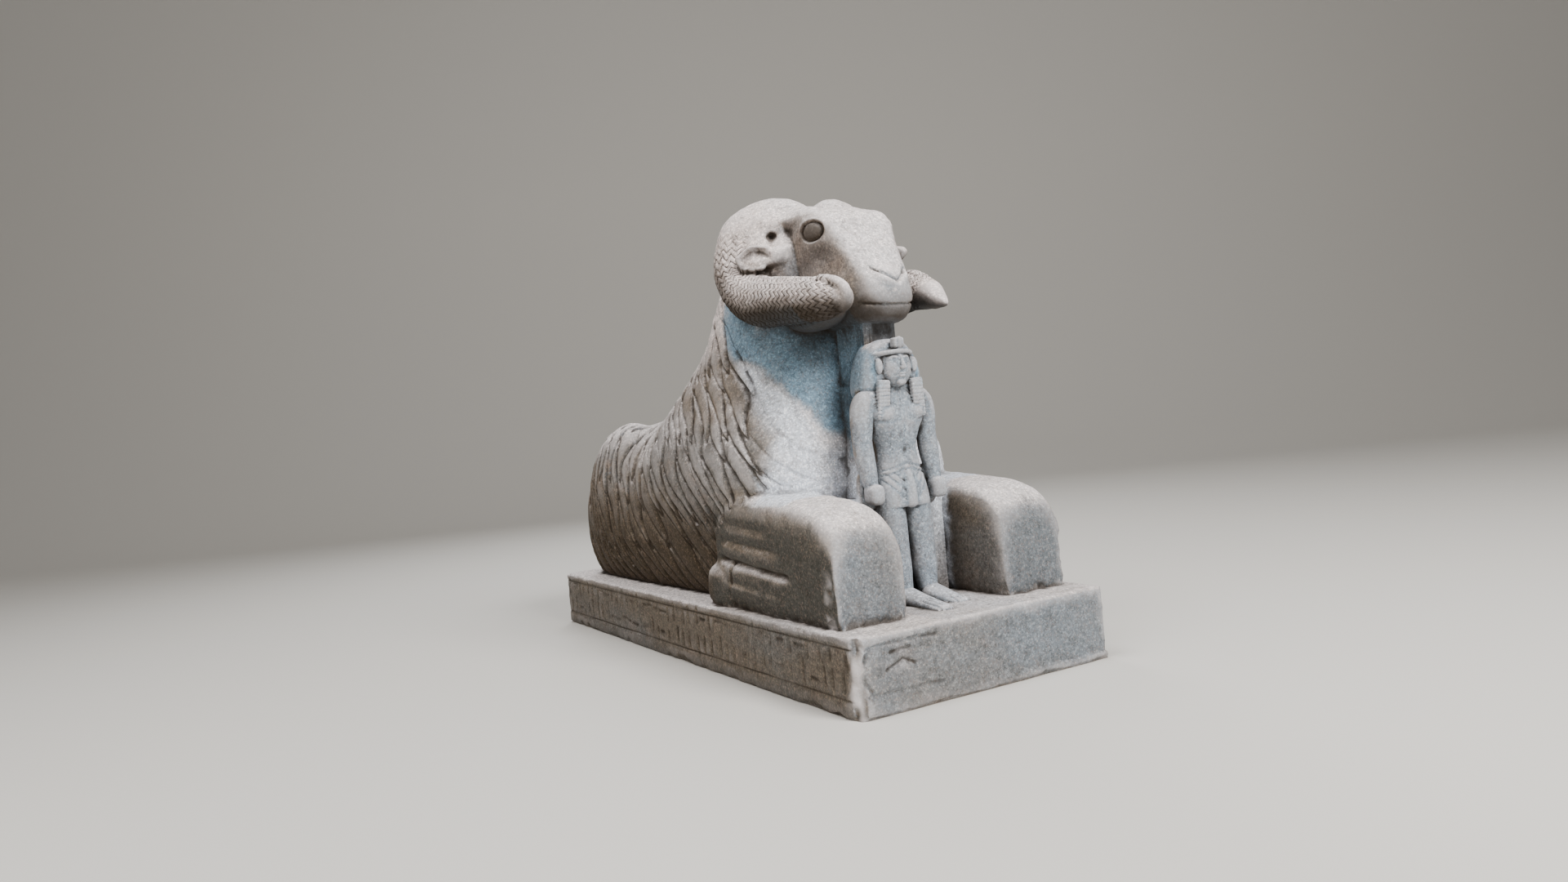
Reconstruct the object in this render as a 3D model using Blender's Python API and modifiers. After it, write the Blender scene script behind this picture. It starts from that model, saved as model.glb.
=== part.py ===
"""A recumbent ram carved from one block of granite, with a small standing king between its forelegs.

Run it with: blender --background --python part.py
Metres, +Z up. The ram faces -Y, its right flank is on -X. The origin is the middle of the plinth's underside.

The sculpture is roughed out as overlapping forms, fused and softened as a carver would dress the block,
then the fleece, the face and the horns are cut into its surface. The three carved masses and the plinth are
joined into one closed stone.
"""

import math

import bmesh
import bpy
import numpy as np
from mathutils import Euler, Matrix, Vector

# Driving dimensions of the block
PLINTH_LENGTH = 1.63
PLINTH_WIDTH = 0.63
PLINTH_HEIGHT = 0.15
STATUE_HEIGHT = 1.065
EDGE_WEAR = 0.006

# The ram's own proportions are shares of the height that it stands above the plinth
RAM_HEIGHT = STATUE_HEIGHT - PLINTH_HEIGHT
MODEL_RAM_HEIGHT = 0.915
RAM_SCALE = RAM_HEIGHT / MODEL_RAM_HEIGHT

# Fleece: tongue-shaped locks, carved in overlapping rows
LOCK_WIDTH = 0.050
LOCK_LENGTH = 0.22
LOCK_DEPTH = 0.012
LOCK_STEP = 0.004

# Lines cut along each foreleg: height above the plinth, depth, half breadth and the Y where they begin
LEG_LINES = (
    (0.172, 0.005, 0.0075, -0.24),
    (0.134, 0.005, 0.0075, -0.24),
    (0.090, 0.014, 0.0095, -0.28),
)

# Horn wrinkles
WRINKLE_PITCH = 0.016
WRINKLE_DEPTH = 0.002

# The ram's face: each middle is (Y, height above the plinth), each half size is along Y and upright
EYE_MIDDLE = (-0.456, 0.800)
EYE_HALF_SIZE = (0.029, 0.024)
EYE_RIM_DEPTH = 0.006
EAR_MIDDLE = (-0.390, 0.757)
EAR_HOLLOW_HALF_SIZE = (0.046, 0.024)
EAR_HOLLOW_DEPTH = 0.010
MOUTH_HEIGHT = 0.627
MOUTH_CORNER = -0.558
MOUTH_DEPTH = 0.007
NOSTRIL_HEIGHT = 0.655
NOSTRIL_SLANT = 0.50
NOSTRIL_DEPTH = 0.005

# Grain of the rough-out for each carved mass, and the triangles that its finished mesh keeps
BEAST_GRAIN = 0.0085
HEAD_GRAIN = 0.0060
KING_GRAIN = 0.0040
BEAST_TRIANGLES = 5400
HEAD_TRIANGLES = 2050
KING_TRIANGLES = 2150

GRANITE_COLOUR = (0.36, 0.31, 0.27, 1.0)
GRANITE_ROUGHNESS = 0.75


def clear_scene():
    for obj in list(bpy.data.objects):
        bpy.data.objects.remove(obj, do_unlink=True)


def stone_material():
    material = bpy.data.materials.new("granite")
    material.use_nodes = True
    shader = material.node_tree.nodes["Principled BSDF"]
    shader.inputs["Base Color"].default_value = GRANITE_COLOUR
    shader.inputs["Roughness"].default_value = GRANITE_ROUGHNESS
    shader.inputs["Metallic"].default_value = 0.0
    return material


def new_object(name, mesh, collection):
    obj = bpy.data.objects.new(name, mesh)
    collection.objects.link(obj)
    return obj


def baked(obj):
    """The object's evaluated mesh as a new mesh of its own."""
    bpy.context.view_layer.update()
    graph = bpy.context.evaluated_depsgraph_get()
    return bpy.data.meshes.new_from_object(obj.evaluated_get(graph))


def smooth_path(points, steps):
    """Catmull-Rom points through rows of numbers, with this many steps in each span."""
    rows = np.array(points, float)
    padded = np.vstack([2 * rows[0] - rows[1], rows, 2 * rows[-1] - rows[-2]])
    path = []
    for a, b, c, d in zip(padded, padded[1:], padded[2:], padded[3:]):
        for t in np.arange(steps) / steps:
            path.append(
                0.5 * (2 * b + (c - a) * t + (2 * a - 5 * b + 4 * c - d) * t**2
                       + (3 * b - a - 3 * c + d) * t**3)
            )
    path.append(rows[-1])
    return np.array(path)


def smoothstep(low, high, value):
    t = np.clip((value - low) / (high - low), 0.0, 1.0)
    return t * t * (3 - 2 * t)


def groove(offset, breadth):
    """1 in the middle of a rounded groove, falling to 0 beyond its breadth."""
    return np.exp(-((offset / breadth) ** 2))


def oval_reach(y, z, middle, half_size):
    """Distance from an oval's middle, as a share of the way to its rim."""
    return np.hypot((y - middle[0]) / half_size[0], (z - middle[1]) / half_size[1])


class Block:
    """The rough forms of one carved mass, gathered in one bmesh before they are fused."""

    def __init__(self):
        self.bm = bmesh.new()

    def ellipsoid(self, centre, radii, turn=(0, 0, 0)):
        place = Matrix.Translation(centre) @ Euler([math.radians(a) for a in turn]).to_matrix().to_4x4()
        place = place @ Matrix.Diagonal((*radii, 1))
        bmesh.ops.create_icosphere(self.bm, subdivisions=3, radius=1, matrix=place)

    def slab(self, centre, size, turn=(0, 0, 0), round_off=0.0):
        place = Matrix.Translation(centre) @ Euler([math.radians(a) for a in turn]).to_matrix().to_4x4()
        place = place @ Matrix.Diagonal((*size, 1))
        made = bmesh.ops.create_cube(self.bm, size=1, matrix=place)
        if round_off:
            edges = list({e for v in made["verts"] for e in v.link_edges})
            bmesh.ops.bevel(self.bm, geom=edges, offset=round_off, segments=3, affect="EDGES", profile=0.5)

    def loft(self, rings):
        """A closed skin over rings of equally many points."""
        rows = [[self.bm.verts.new(p) for p in ring] for ring in rings]
        count = len(rows[0])
        faces = []
        for low, high in zip(rows, rows[1:]):
            for i in range(count):
                j = (i + 1) % count
                faces.append(self.bm.faces.new((low[i], low[j], high[j], high[i])))
        faces.append(self.bm.faces.new(list(reversed(rows[0]))))
        faces.append(self.bm.faces.new(rows[-1]))
        bmesh.ops.recalc_face_normals(self.bm, faces=faces)

    def tube(self, points, steps=6, flat=1.0):
        """A round limb through rows of x, y, z, radius, with ball ends. flat squeezes it along X."""
        path = smooth_path(points, steps)
        tangents = np.gradient(path[:, :3], axis=0)
        rings = []
        for row, tangent in zip(path, tangents):
            turn = Vector(tangent).to_track_quat("Z", "Y").to_matrix()
            ring = []
            for k in range(16):
                angle = 2 * math.pi * k / 16
                offset = turn @ Vector((math.cos(angle), math.sin(angle), 0)) * row[3]
                ring.append(Vector(row[:3]) + Vector((offset.x * flat, offset.y, offset.z)))
            rings.append(ring)
        self.loft(rings)
        for end in (path[0], path[-1]):
            self.ellipsoid(end[:3], (end[3] * flat, end[3], end[3]))

    def fused(self, name, grain, softening, collection):
        """The forms remeshed into one skin, softened and returned as an object."""
        mesh = bpy.data.meshes.new(name)
        self.bm.to_mesh(mesh)
        self.bm.free()
        obj = new_object(name, mesh, collection)
        remesh = obj.modifiers.new("fuse", "REMESH")
        remesh.mode = "VOXEL"
        remesh.voxel_size = grain
        soften = obj.modifiers.new("soften", "SMOOTH")
        soften.factor = 0.5
        soften.iterations = softening
        obj.data = baked(obj)
        obj.modifiers.clear()
        return obj


def superellipse(count, square):
    """Unit superellipse points as (across, up) pairs."""
    points = []
    for k in range(count):
        angle = 2 * math.pi * k / count
        across, up = math.cos(angle), math.sin(angle)
        points.append(
            (math.copysign(abs(across) ** (2 / square), across), math.copysign(abs(up) ** (2 / square), up))
        )
    return points


def upright_rings(stations, square=2.3, foot=1.0, count=28, middle=0.0):
    """Rings in XZ planes from rows of y, half width, bottom, top. foot narrows the underside."""
    rings = []
    for y, half_width, low, high in smooth_path(stations, 4):
        centre, half = (low + high) / 2, (high - low) / 2
        ring = []
        for across, up in superellipse(count, square):
            narrow = 1 - (1 - foot) * max(0.0, -up)
            ring.append(Vector((middle + across * half_width * narrow, y, centre + up * half)))
        rings.append(ring)
    return rings


def level_rings(stations, count=28):
    """Rings in XY planes from rows of z, half width, front y, back y, squareness."""
    rings = []
    for z, half_width, front, back, square in smooth_path(stations, 4):
        centre, half = (front + back) / 2, (back - front) / 2
        rings.append(
            [Vector((across * half_width, centre + along * half, z)) for across, along in superellipse(count, square)]
        )
    return rings


def vertex_arrays(obj):
    """The object's vertex places and normals as two arrays."""
    count = len(obj.data.vertices)
    places, normals = np.empty(count * 3), np.empty(count * 3)
    obj.data.vertices.foreach_get("co", places)
    obj.data.vertex_normals.foreach_get("vector", normals)
    return places.reshape(-1, 3), normals.reshape(-1, 3)


def push(obj, places, normals, heights):
    """Moves each vertex out by its own height."""
    obj.data.vertices.foreach_set("co", (places + normals * heights[:, None]).ravel())
    obj.data.update()


# The carved masses. Their places are in metres for a ram that rises MODEL_RAM_HEIGHT above a plinth
# at z = 0, with its plinth's middle at the origin. carved_to_size() brings them to the driving dimensions.

BODY_STATIONS = (
    # y, half width, bottom, top
    (0.785, 0.08, 0.08, 0.25),
    (0.762, 0.19, -0.01, 0.350),
    (0.70, 0.250, -0.03, 0.415),
    (0.56, 0.280, -0.03, 0.447),
    (0.40, 0.284, -0.03, 0.455),
    (0.18, 0.272, -0.03, 0.455),
    (-0.05, 0.262, -0.03, 0.455),
    (-0.25, 0.250, -0.03, 0.445),
    (-0.38, 0.205, -0.03, 0.41),
    (-0.45, 0.13, -0.02, 0.34),
)

NECK_STATIONS = (
    # z, half width, front y, back y, squareness
    (0.06, 0.250, -0.420, 0.440, 3.5),
    (0.22, 0.284, -0.465, 0.420, 4.2),
    (0.30, 0.286, -0.468, 0.390, 4.2),
    (0.36, 0.273, -0.464, 0.350, 3.6),
    (0.46, 0.238, -0.449, 0.245, 2.7),
    (0.56, 0.204, -0.436, 0.118, 2.3),
    (0.66, 0.174, -0.430, 0.055, 2.2),
    (0.76, 0.150, -0.420, 0.000, 2.2),
    (0.82, 0.130, -0.380, -0.050, 2.2),
)

HEAD_STATIONS = (
    # y, half width, bottom, top
    (-0.12, 0.060, 0.680, 0.800),
    (-0.18, 0.095, 0.630, 0.845),
    (-0.27, 0.108, 0.600, 0.866),
    (-0.36, 0.104, 0.590, 0.874),
    (-0.43, 0.098, 0.586, 0.857),
    (-0.48, 0.091, 0.586, 0.826),
    (-0.52, 0.081, 0.586, 0.790),
    (-0.548, 0.072, 0.586, 0.753),
    (-0.572, 0.064, 0.587, 0.715),
    (-0.592, 0.055, 0.590, 0.684),
    (-0.606, 0.040, 0.598, 0.664),
    (-0.613, 0.022, 0.612, 0.645),
)

HORN_PATH = (
    # distance from the middle plane, y, z, radius
    (0.036, -0.345, 0.828, 0.044),
    (0.070, -0.287, 0.856, 0.058),
    (0.136, -0.250, 0.832, 0.061),
    (0.167, -0.252, 0.767, 0.060),
    (0.173, -0.280, 0.706, 0.058),
    (0.174, -0.355, 0.668, 0.056),
    (0.170, -0.450, 0.655, 0.052),
)
# The right horn ends in a blunt lobe and the left one in a point
HORN_END_RIGHT = ((0.164, -0.535, 0.645, 0.047), (0.157, -0.590, 0.638, 0.041), (0.148, -0.620, 0.636, 0.030))
HORN_END_LEFT = ((0.157, -0.510, 0.661, 0.030), (0.144, -0.562, 0.646, 0.019), (0.134, -0.602, 0.629, 0.005))

# The back pillar, which widens into the king's headcloth
PILLAR_STATIONS = (
    # z, half width, front y, back y, squareness
    (0.200, 0.082, -0.530, -0.40, 5),
    (0.380, 0.084, -0.535, -0.40, 5),
    (0.430, 0.080, -0.545, -0.40, 5),
    (0.475, 0.074, -0.552, -0.40, 5),
    (0.515, 0.063, -0.556, -0.40, 5),
    (0.548, 0.047, -0.556, -0.40, 5),
    (0.570, 0.042, -0.556, -0.40, 5),
    (0.600, 0.041, -0.556, -0.40, 5),
)


def ram_body(block):
    block.loft(upright_rings(BODY_STATIONS, square=2.6, foot=0.86))
    block.loft(level_rings(NECK_STATIONS))
    for side in (-1, 1):
        block.ellipsoid((side * 0.170, 0.50, 0.205), (0.122, 0.250, 0.235))


def ram_tail(block):
    block.tube(((0.0, 0.735, 0.30, 0.030), (0.012, 0.775, 0.22, 0.030), (0.018, 0.785, 0.12, 0.028),
                (0.014, 0.780, 0.02, 0.024)), flat=1.3)


def foreleg(block, side):
    """A folded foreleg: the squared knee in front, the upper arm, the shank and the hoof turned back."""
    knee_rings = [
        (-0.715, 0.055, 0.03, 0.150),
        (-0.700, 0.068, -0.02, 0.195),
        (-0.650, 0.076, -0.03, 0.225),
        (-0.540, 0.078, -0.03, 0.240),
        (-0.400, 0.080, -0.03, 0.248),
        (-0.280, 0.082, -0.03, 0.262),
    ]
    block.loft(upright_rings(knee_rings, square=3.4, middle=side * 0.202))
    block.tube(((side * 0.198, -0.50, 0.155, 0.080), (side * 0.198, -0.30, 0.170, 0.082),
                (side * 0.185, -0.12, 0.20, 0.085)))
    block.tube(((side * 0.243, -0.50, 0.045, 0.040), (side * 0.245, -0.36, 0.045, 0.038),
                (side * 0.245, -0.245, 0.045, 0.034)))
    block.ellipsoid((side * 0.248, -0.190, 0.047), (0.033, 0.050, 0.046))


def ram_head(block):
    block.loft(upright_rings(HEAD_STATIONS, square=2.8, foot=0.86))
    block.ellipsoid((0, -0.560, 0.640), (0.060, 0.052, 0.054))
    for side in (-1, 1):
        block.ellipsoid((side * 0.068, -0.390, 0.848), (0.034, 0.090, 0.026), (12, 0, 0))
        block.ellipsoid((side * 0.093, *EYE_MIDDLE), (0.015, *EYE_HALF_SIZE), (10, 0, side * 8))
        block.ellipsoid((side * 0.105, -0.325, 0.725), (0.055, 0.105, 0.105))


def horn_path(side):
    end = HORN_END_LEFT if side > 0 else HORN_END_RIGHT
    return [(side * x, y, z, r) for x, y, z, r in HORN_PATH + end]


def horn_and_ear(block, side):
    block.tube(horn_path(side))
    block.ellipsoid((side * 0.196, *EAR_MIDDLE), (0.014, 0.062, 0.034), (8, 0, side * -33))
    block.tube(((side * 0.128, -0.430, 0.748, 0.024), (side * 0.168, -0.412, 0.754, 0.022)))


def standing_king(block):
    """The small king against the ram's chest, in a headcloth and short kilt, arms at his sides."""
    block.loft(level_rings(PILLAR_STATIONS))
    block.slab((0, -0.445, 0.085), (0.262, 0.190, 0.270), round_off=0.012)
    block.ellipsoid((0, -0.556, 0.392), (0.060, 0.034, 0.050))
    block.ellipsoid((0, -0.556, 0.325), (0.043, 0.032, 0.075))
    block.ellipsoid((0, -0.556, 0.262), (0.053, 0.036, 0.050))
    block.tube(((0, -0.560, 0.255, 0.038), (0, -0.566, 0.216, 0.040)), flat=1.38)
    block.tube(((0, -0.545, 0.42, 0.024), (0, -0.560, 0.47, 0.024)))
    for side in (-1, 1):
        king_arm(block, side)
        block.tube(((side * 0.030, -0.562, 0.220, 0.028), (side * 0.032, -0.570, 0.170, 0.0275),
                    (side * 0.032, -0.576, 0.105, 0.025), (side * 0.031, -0.582, 0.070, 0.025),
                    (side * 0.030, -0.590, 0.010, 0.018)))
    block.ellipsoid((-0.031, -0.662, 0.004), (0.024, 0.085, 0.016))
    block.ellipsoid((0.033, -0.638, 0.004), (0.024, 0.066, 0.016))
    king_head(block)


def king_arm(block, side):
    """A straight arm held to the side, with the clenched fist at the hip."""
    block.tube(((side * 0.045, -0.548, 0.418, 0.026), (side * 0.078, -0.545, 0.409, 0.026)))
    block.ellipsoid((side * 0.030, -0.573, 0.398), (0.030, 0.021, 0.025))
    block.tube(((side * 0.078, -0.548, 0.402, 0.026), (side * 0.084, -0.545, 0.330, 0.023),
                (side * 0.081, -0.562, 0.262, 0.019)))
    block.slab((side * 0.080, -0.578, 0.226), (0.036, 0.042, 0.042), round_off=0.011)


def king_head(block):
    block.ellipsoid((0, -0.566, 0.497), (0.033, 0.036, 0.044))
    block.ellipsoid((0, -0.590, 0.468), (0.018, 0.014, 0.014))
    block.ellipsoid((0, -0.602, 0.491), (0.0070, 0.010, 0.0065))
    block.tube(((0, -0.597, 0.510, 0.0048), (0, -0.606, 0.491, 0.0062)))
    block.ellipsoid((0, -0.556, 0.520), (0.043, 0.045, 0.034))
    block.slab((0, -0.596, 0.537), (0.026, 0.020, 0.023), (0, 0, 0), 0.004)
    for side in (-1, 1):
        block.ellipsoid((side * 0.014, -0.594, 0.505), (0.0085, 0.006, 0.0048))
        block.ellipsoid((side * 0.042, -0.570, 0.498), (0.009, 0.012, 0.019), (0, 0, side * 20))
        block.slab((side * 0.040, -0.567, 0.425), (0.028, 0.030, 0.074), (6, side * -5, 0), 0.006)


# Where the mane ends at the front: height above the plinth and Y
MANE_EDGE = ((0.22, -0.33), (0.27, -0.44), (0.34, -0.50), (0.42, -0.45), (0.48, -0.37), (0.55, -0.27), (0.62, -0.22))


def fleece_field(places):
    """How strongly the fleece is carved at each place, from 0 to 1: flank, back and neck, not the chest or legs."""
    x, y, z = np.abs(places[:, 0]), places[:, 1], places[:, 2]
    heights, edges = zip(*MANE_EDGE)
    area = smoothstep(-0.02, 0.02, y - np.interp(z, heights, edges))
    area = area * np.maximum(smoothstep(0.10, 0.14, x), smoothstep(-0.20, -0.10, y))
    above_leg = smoothstep(0.22, 0.26, z + 0.35 * np.maximum(y + 0.40, 0))
    behind_leg = smoothstep(-0.20, -0.16, y)
    return area * np.maximum(above_leg, behind_leg) * smoothstep(0.0, 0.015, z)


def fleece_flow(places):
    """(across, along) the locks in metres: along runs from the spine and the poll down to the plinth."""
    x, y, z = np.abs(places[:, 0]), places[:, 1], places[:, 2]
    neck_middle = -0.20 + 0.35 * np.clip(0.75 - z, 0, 1) ** 1.3
    around_neck = 0.21 * np.arctan2(x, y - neck_middle)
    on_body = 0.23 - y
    rump = 0.27 * np.arctan2(y - 0.46, np.maximum(x, 0.02))
    around_rump = 0.23 - 0.46 - rump
    rump_share = smoothstep(0.46, 0.56, y) * smoothstep(0.46, 0.38, z)
    on_body = on_body * (1 - rump_share) + around_rump * rump_share
    neck_share = smoothstep(0.36, 0.52, z + 0.25 * (0.1 - y))
    across = on_body * (1 - neck_share) + around_neck * neck_share
    down = 0.86 - z + 0.8 * x
    sweep = 1.5 * np.clip(0.40 - z, 0, 1) ** 2
    wave = 0.008 * np.sin(9.0 * down + 2.5 * across) + 0.004 * np.sin(23.0 * down - 11.0 * across)
    return across - sweep + wave, down


def lock_relief(across, along):
    """Height of imbricated tongue-shaped locks: each is a ridge that tapers to a tip over the next row."""
    row_pitch = LOCK_LENGTH * 0.5
    relief = np.zeros(len(across))
    row_guess = np.floor(along / row_pitch)
    for back in range(2, -1, -1):
        row = row_guess - back
        column = across / LOCK_WIDTH + 0.5 * np.mod(row, 2)
        number = np.floor(column)
        jitter = 0.30 * np.sin(number * 12.9898 + row * 78.233)
        share = (along / row_pitch - row - jitter) / 2.0
        offset = 2 * (column - number) - 1
        half = np.sqrt(np.clip(1 - np.clip(share, 0, 1) ** 3.2, 0, 1))
        inside = (share > 0) & (share < 1) & (np.abs(offset) < half)
        ridge = np.clip(1 - (np.abs(offset) / np.maximum(half, 1e-3)) ** 2.2, 0, 1) ** 0.7
        height = LOCK_DEPTH * ridge * smoothstep(1.0, 0.93, share) + LOCK_STEP * share
        relief = np.where(inside, height, relief)
    return relief - LOCK_DEPTH


def carve_fleece(obj):
    places, normals = vertex_arrays(obj)
    across, along = fleece_flow(places)
    push(obj, places, normals, fleece_field(places) * lock_relief(across, along))


def carve_leg_lines(obj):
    """Tendon lines and the deep fold over the shank, along the outer side of each foreleg."""
    places, normals = vertex_arrays(obj)
    x, y, z = np.abs(places[:, 0]), places[:, 1], places[:, 2]
    zone = smoothstep(0.24, 0.27, x) * smoothstep(-0.56, -0.52, y)
    heights = np.zeros(len(x))
    for line, depth, breadth, start in LEG_LINES:
        height = line + 0.05 * (y + 0.42)
        heights -= depth * groove(z - height, breadth) * smoothstep(start, start - 0.04, y)
    push(obj, places, normals, heights * zone)


def near_path(places, path):
    """For each place: its distance from the path, its share along it, and its angle round it."""
    samples = smooth_path(path, 12)
    lengths = np.concatenate([[0], np.cumsum(np.linalg.norm(np.diff(samples[:, :3], axis=0), axis=1))])
    nearest = np.empty(len(places), int)
    for start in range(0, len(places), 4096):
        part = places[start : start + 4096]
        gaps = ((part[:, None] - samples[None, :, :3]) ** 2).sum(2)
        nearest[start : start + 4096] = gaps.argmin(1)
    offset = places - samples[nearest, :3]
    tangents = np.gradient(samples[:, :3], axis=0)[nearest]
    tangents /= np.linalg.norm(tangents, axis=1)[:, None]
    sideways = np.cross(tangents, [1.0, 0.0, 0.0])
    sideways /= np.maximum(np.linalg.norm(sideways, axis=1), 1e-6)[:, None]
    angle = np.arctan2((offset * np.cross(tangents, sideways)).sum(1), (offset * sideways).sum(1))
    return np.linalg.norm(offset, axis=1) / samples[nearest, 3], lengths[nearest], angle


def carve_head(obj):
    """Eye rims, nostrils, the mouth line, the hollow of each ear and the horns' wrinkles."""
    places, normals = vertex_arrays(obj)
    x, y, z = np.abs(places[:, 0]), places[:, 1], places[:, 2]
    eye = oval_reach(y, z, EYE_MIDDLE, EYE_HALF_SIZE)
    heights = -EYE_RIM_DEPTH * groove(eye - 1.12, 0.16) * smoothstep(0.07, 0.09, x)
    at_mouth = smoothstep(MOUTH_CORNER + 0.008, MOUTH_CORNER - 0.007, y) * smoothstep(0.085, 0.075, x)
    heights -= MOUTH_DEPTH * groove(z - MOUTH_HEIGHT, 0.006) * at_mouth
    at_nostril = smoothstep(-0.56, -0.58, y) * (x < 0.055)
    heights -= NOSTRIL_DEPTH * groove(z - NOSTRIL_HEIGHT - NOSTRIL_SLANT * x, 0.005) * at_nostril
    ear = oval_reach(y, z, EAR_MIDDLE, EAR_HOLLOW_HALF_SIZE)
    heights -= EAR_HOLLOW_DEPTH * smoothstep(1.0, 0.55, ear) * smoothstep(0.185, 0.20, x)
    for side in (-1, 1):
        own = places[:, 0] * side > 0
        reach, along, angle = near_path(places[own], horn_path(side))
        on_horn = smoothstep(1.25, 1.1, reach) * smoothstep(0.80, 0.92, reach)
        wrinkle = np.cos(2 * math.pi * along / WRINKLE_PITCH + 2.0 * np.cos(3 * angle))
        heights[own] += WRINKLE_DEPTH * wrinkle * on_horn * smoothstep(0.10, 0.16, along)
    push(obj, places, normals, heights)


def thinned(obj, triangles):
    """Collapses the mesh to about this many triangles, which gather where it is most carved."""
    obj.data.calc_loop_triangles()
    thin = obj.modifiers.new("thin", "DECIMATE")
    thin.ratio = triangles / len(obj.data.loop_triangles)
    thin.use_collapse_triangulate = True
    obj.data = baked(obj)
    obj.modifiers.clear()


def carved_to_size(obj):
    """Brings a mass from the model's own proportions to the statue's height, on top of the plinth."""
    place = Matrix.Translation((0, 0, PLINTH_HEIGHT)) @ Matrix.Scale(RAM_SCALE, 4)
    obj.data.transform(place)


def carved_beast(rough):
    block = Block()
    ram_body(block)
    ram_tail(block)
    for side in (-1, 1):
        foreleg(block, side)
    beast = block.fused("ram_trunk", BEAST_GRAIN, 5, rough)
    carve_fleece(beast)
    carve_leg_lines(beast)
    thinned(beast, BEAST_TRIANGLES)
    return beast


def carved_head(rough):
    block = Block()
    ram_head(block)
    for side in (-1, 1):
        horn_and_ear(block, side)
    head = block.fused("ram_head", HEAD_GRAIN, 3, rough)
    carve_head(head)
    thinned(head, HEAD_TRIANGLES)
    return head


def carved_king(rough):
    block = Block()
    standing_king(block)
    king = block.fused("standing_king", KING_GRAIN, 2, rough)
    thinned(king, KING_TRIANGLES)
    return king


def fill_pockets(obj):
    """Leaves only the outer skin: pockets sealed in between the joined masses become solid stone."""
    bm = bmesh.new()
    bm.from_mesh(obj.data)
    bm.verts.ensure_lookup_table()
    unseen = set(bm.verts)
    skins = []
    while unseen:
        front = [unseen.pop()]
        skin = list(front)
        while front:
            vert = front.pop()
            for edge in vert.link_edges:
                other = edge.other_vert(vert)
                if other in unseen:
                    unseen.discard(other)
                    front.append(other)
                    skin.append(other)
        skins.append(skin)
    skins.sort(key=len)
    for pocket in skins[:-1]:
        bmesh.ops.delete(bm, geom=pocket, context="VERTS")
    bm.to_mesh(obj.data)
    bm.free()


def plinth(collection):
    """The plinth with worn edges, cut from the same block as the ram."""
    bm = bmesh.new()
    place = Matrix.Translation((0, 0, PLINTH_HEIGHT / 2))
    place = place @ Matrix.Diagonal((PLINTH_WIDTH, PLINTH_LENGTH, PLINTH_HEIGHT, 1))
    bmesh.ops.create_cube(bm, size=1, matrix=place)
    mesh = bpy.data.meshes.new("ram_statue")
    bm.to_mesh(mesh)
    bm.free()
    obj = new_object("ram_statue", mesh, collection)
    bevel = obj.modifiers.new("worn edges", "BEVEL")
    bevel.width = EDGE_WEAR
    bevel.segments = 1
    obj.data = baked(obj)
    obj.modifiers.clear()
    return obj


def main():
    clear_scene()
    statue_collection = bpy.data.collections.new("ram statue")
    rough_collection = bpy.data.collections.new("rough forms")
    for collection in (statue_collection, rough_collection):
        bpy.context.scene.collection.children.link(collection)
    statue = plinth(statue_collection)
    for mass in (carved_beast(rough_collection), carved_head(rough_collection), carved_king(rough_collection)):
        carved_to_size(mass)
        mass.hide_render = True
        mass.display_type = "WIRE"
        join = statue.modifiers.new("join " + mass.name, "BOOLEAN")
        join.operation = "UNION"
        join.solver = "EXACT"
        join.object = mass
    statue.data = baked(statue)
    statue.modifiers.clear()
    fill_pockets(statue)
    statue.data.materials.clear()
    statue.data.materials.append(stone_material())
    statue.data.shade_smooth()


main()
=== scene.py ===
"""The looks of a recumbent granite ram with a small standing king between its forelegs.

One carved stone takes the place of the frame's solid. It is roughed out from the same overlapping forms,
fused, softened and then cut: fleece, horn scales, faces, inscribed strokes, breaks and worn edges.
"""

import math

import bmesh
import bpy
import numpy as np
from mathutils import Euler, Matrix, Vector
from mathutils.bvhtree import BVHTree


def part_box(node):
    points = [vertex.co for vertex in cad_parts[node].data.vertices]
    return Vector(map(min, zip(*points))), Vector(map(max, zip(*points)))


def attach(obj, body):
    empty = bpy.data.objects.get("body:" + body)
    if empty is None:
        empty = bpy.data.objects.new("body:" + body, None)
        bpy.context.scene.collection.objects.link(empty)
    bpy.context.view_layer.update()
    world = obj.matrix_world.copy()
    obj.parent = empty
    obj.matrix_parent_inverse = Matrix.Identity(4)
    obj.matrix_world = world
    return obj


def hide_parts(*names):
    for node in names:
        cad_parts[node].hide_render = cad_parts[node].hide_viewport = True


bl_info = {
    "name": "Granite ram",
    "version": (1, 0, 0),
    "blender": (4, 5, 0),
    "location": "3D View > Sidebar > Granite Ram",
    "description": "Carves a recumbent granite ram with a standing king on one plinth",
    "category": "Object",
}

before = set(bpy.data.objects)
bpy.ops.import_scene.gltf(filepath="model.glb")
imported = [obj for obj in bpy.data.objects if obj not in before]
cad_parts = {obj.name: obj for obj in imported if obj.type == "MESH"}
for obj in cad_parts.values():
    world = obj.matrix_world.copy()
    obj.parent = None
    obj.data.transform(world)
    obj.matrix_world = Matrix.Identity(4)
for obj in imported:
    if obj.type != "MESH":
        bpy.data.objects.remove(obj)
STONE_NODE = "ram_statue"
STONE_LOW, STONE_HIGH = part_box(STONE_NODE)
STONE_SIZE = STONE_HIGH - STONE_LOW
MODEL_RAM_HEIGHT = 0.915

# Points round each form, and directions in which a ball is laid out and shelter is looked for
RING_POINTS = 56
TUBE_POINTS = 32
HULL_DIRECTIONS = 240
SHELTER_DIRECTIONS = 40

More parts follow.
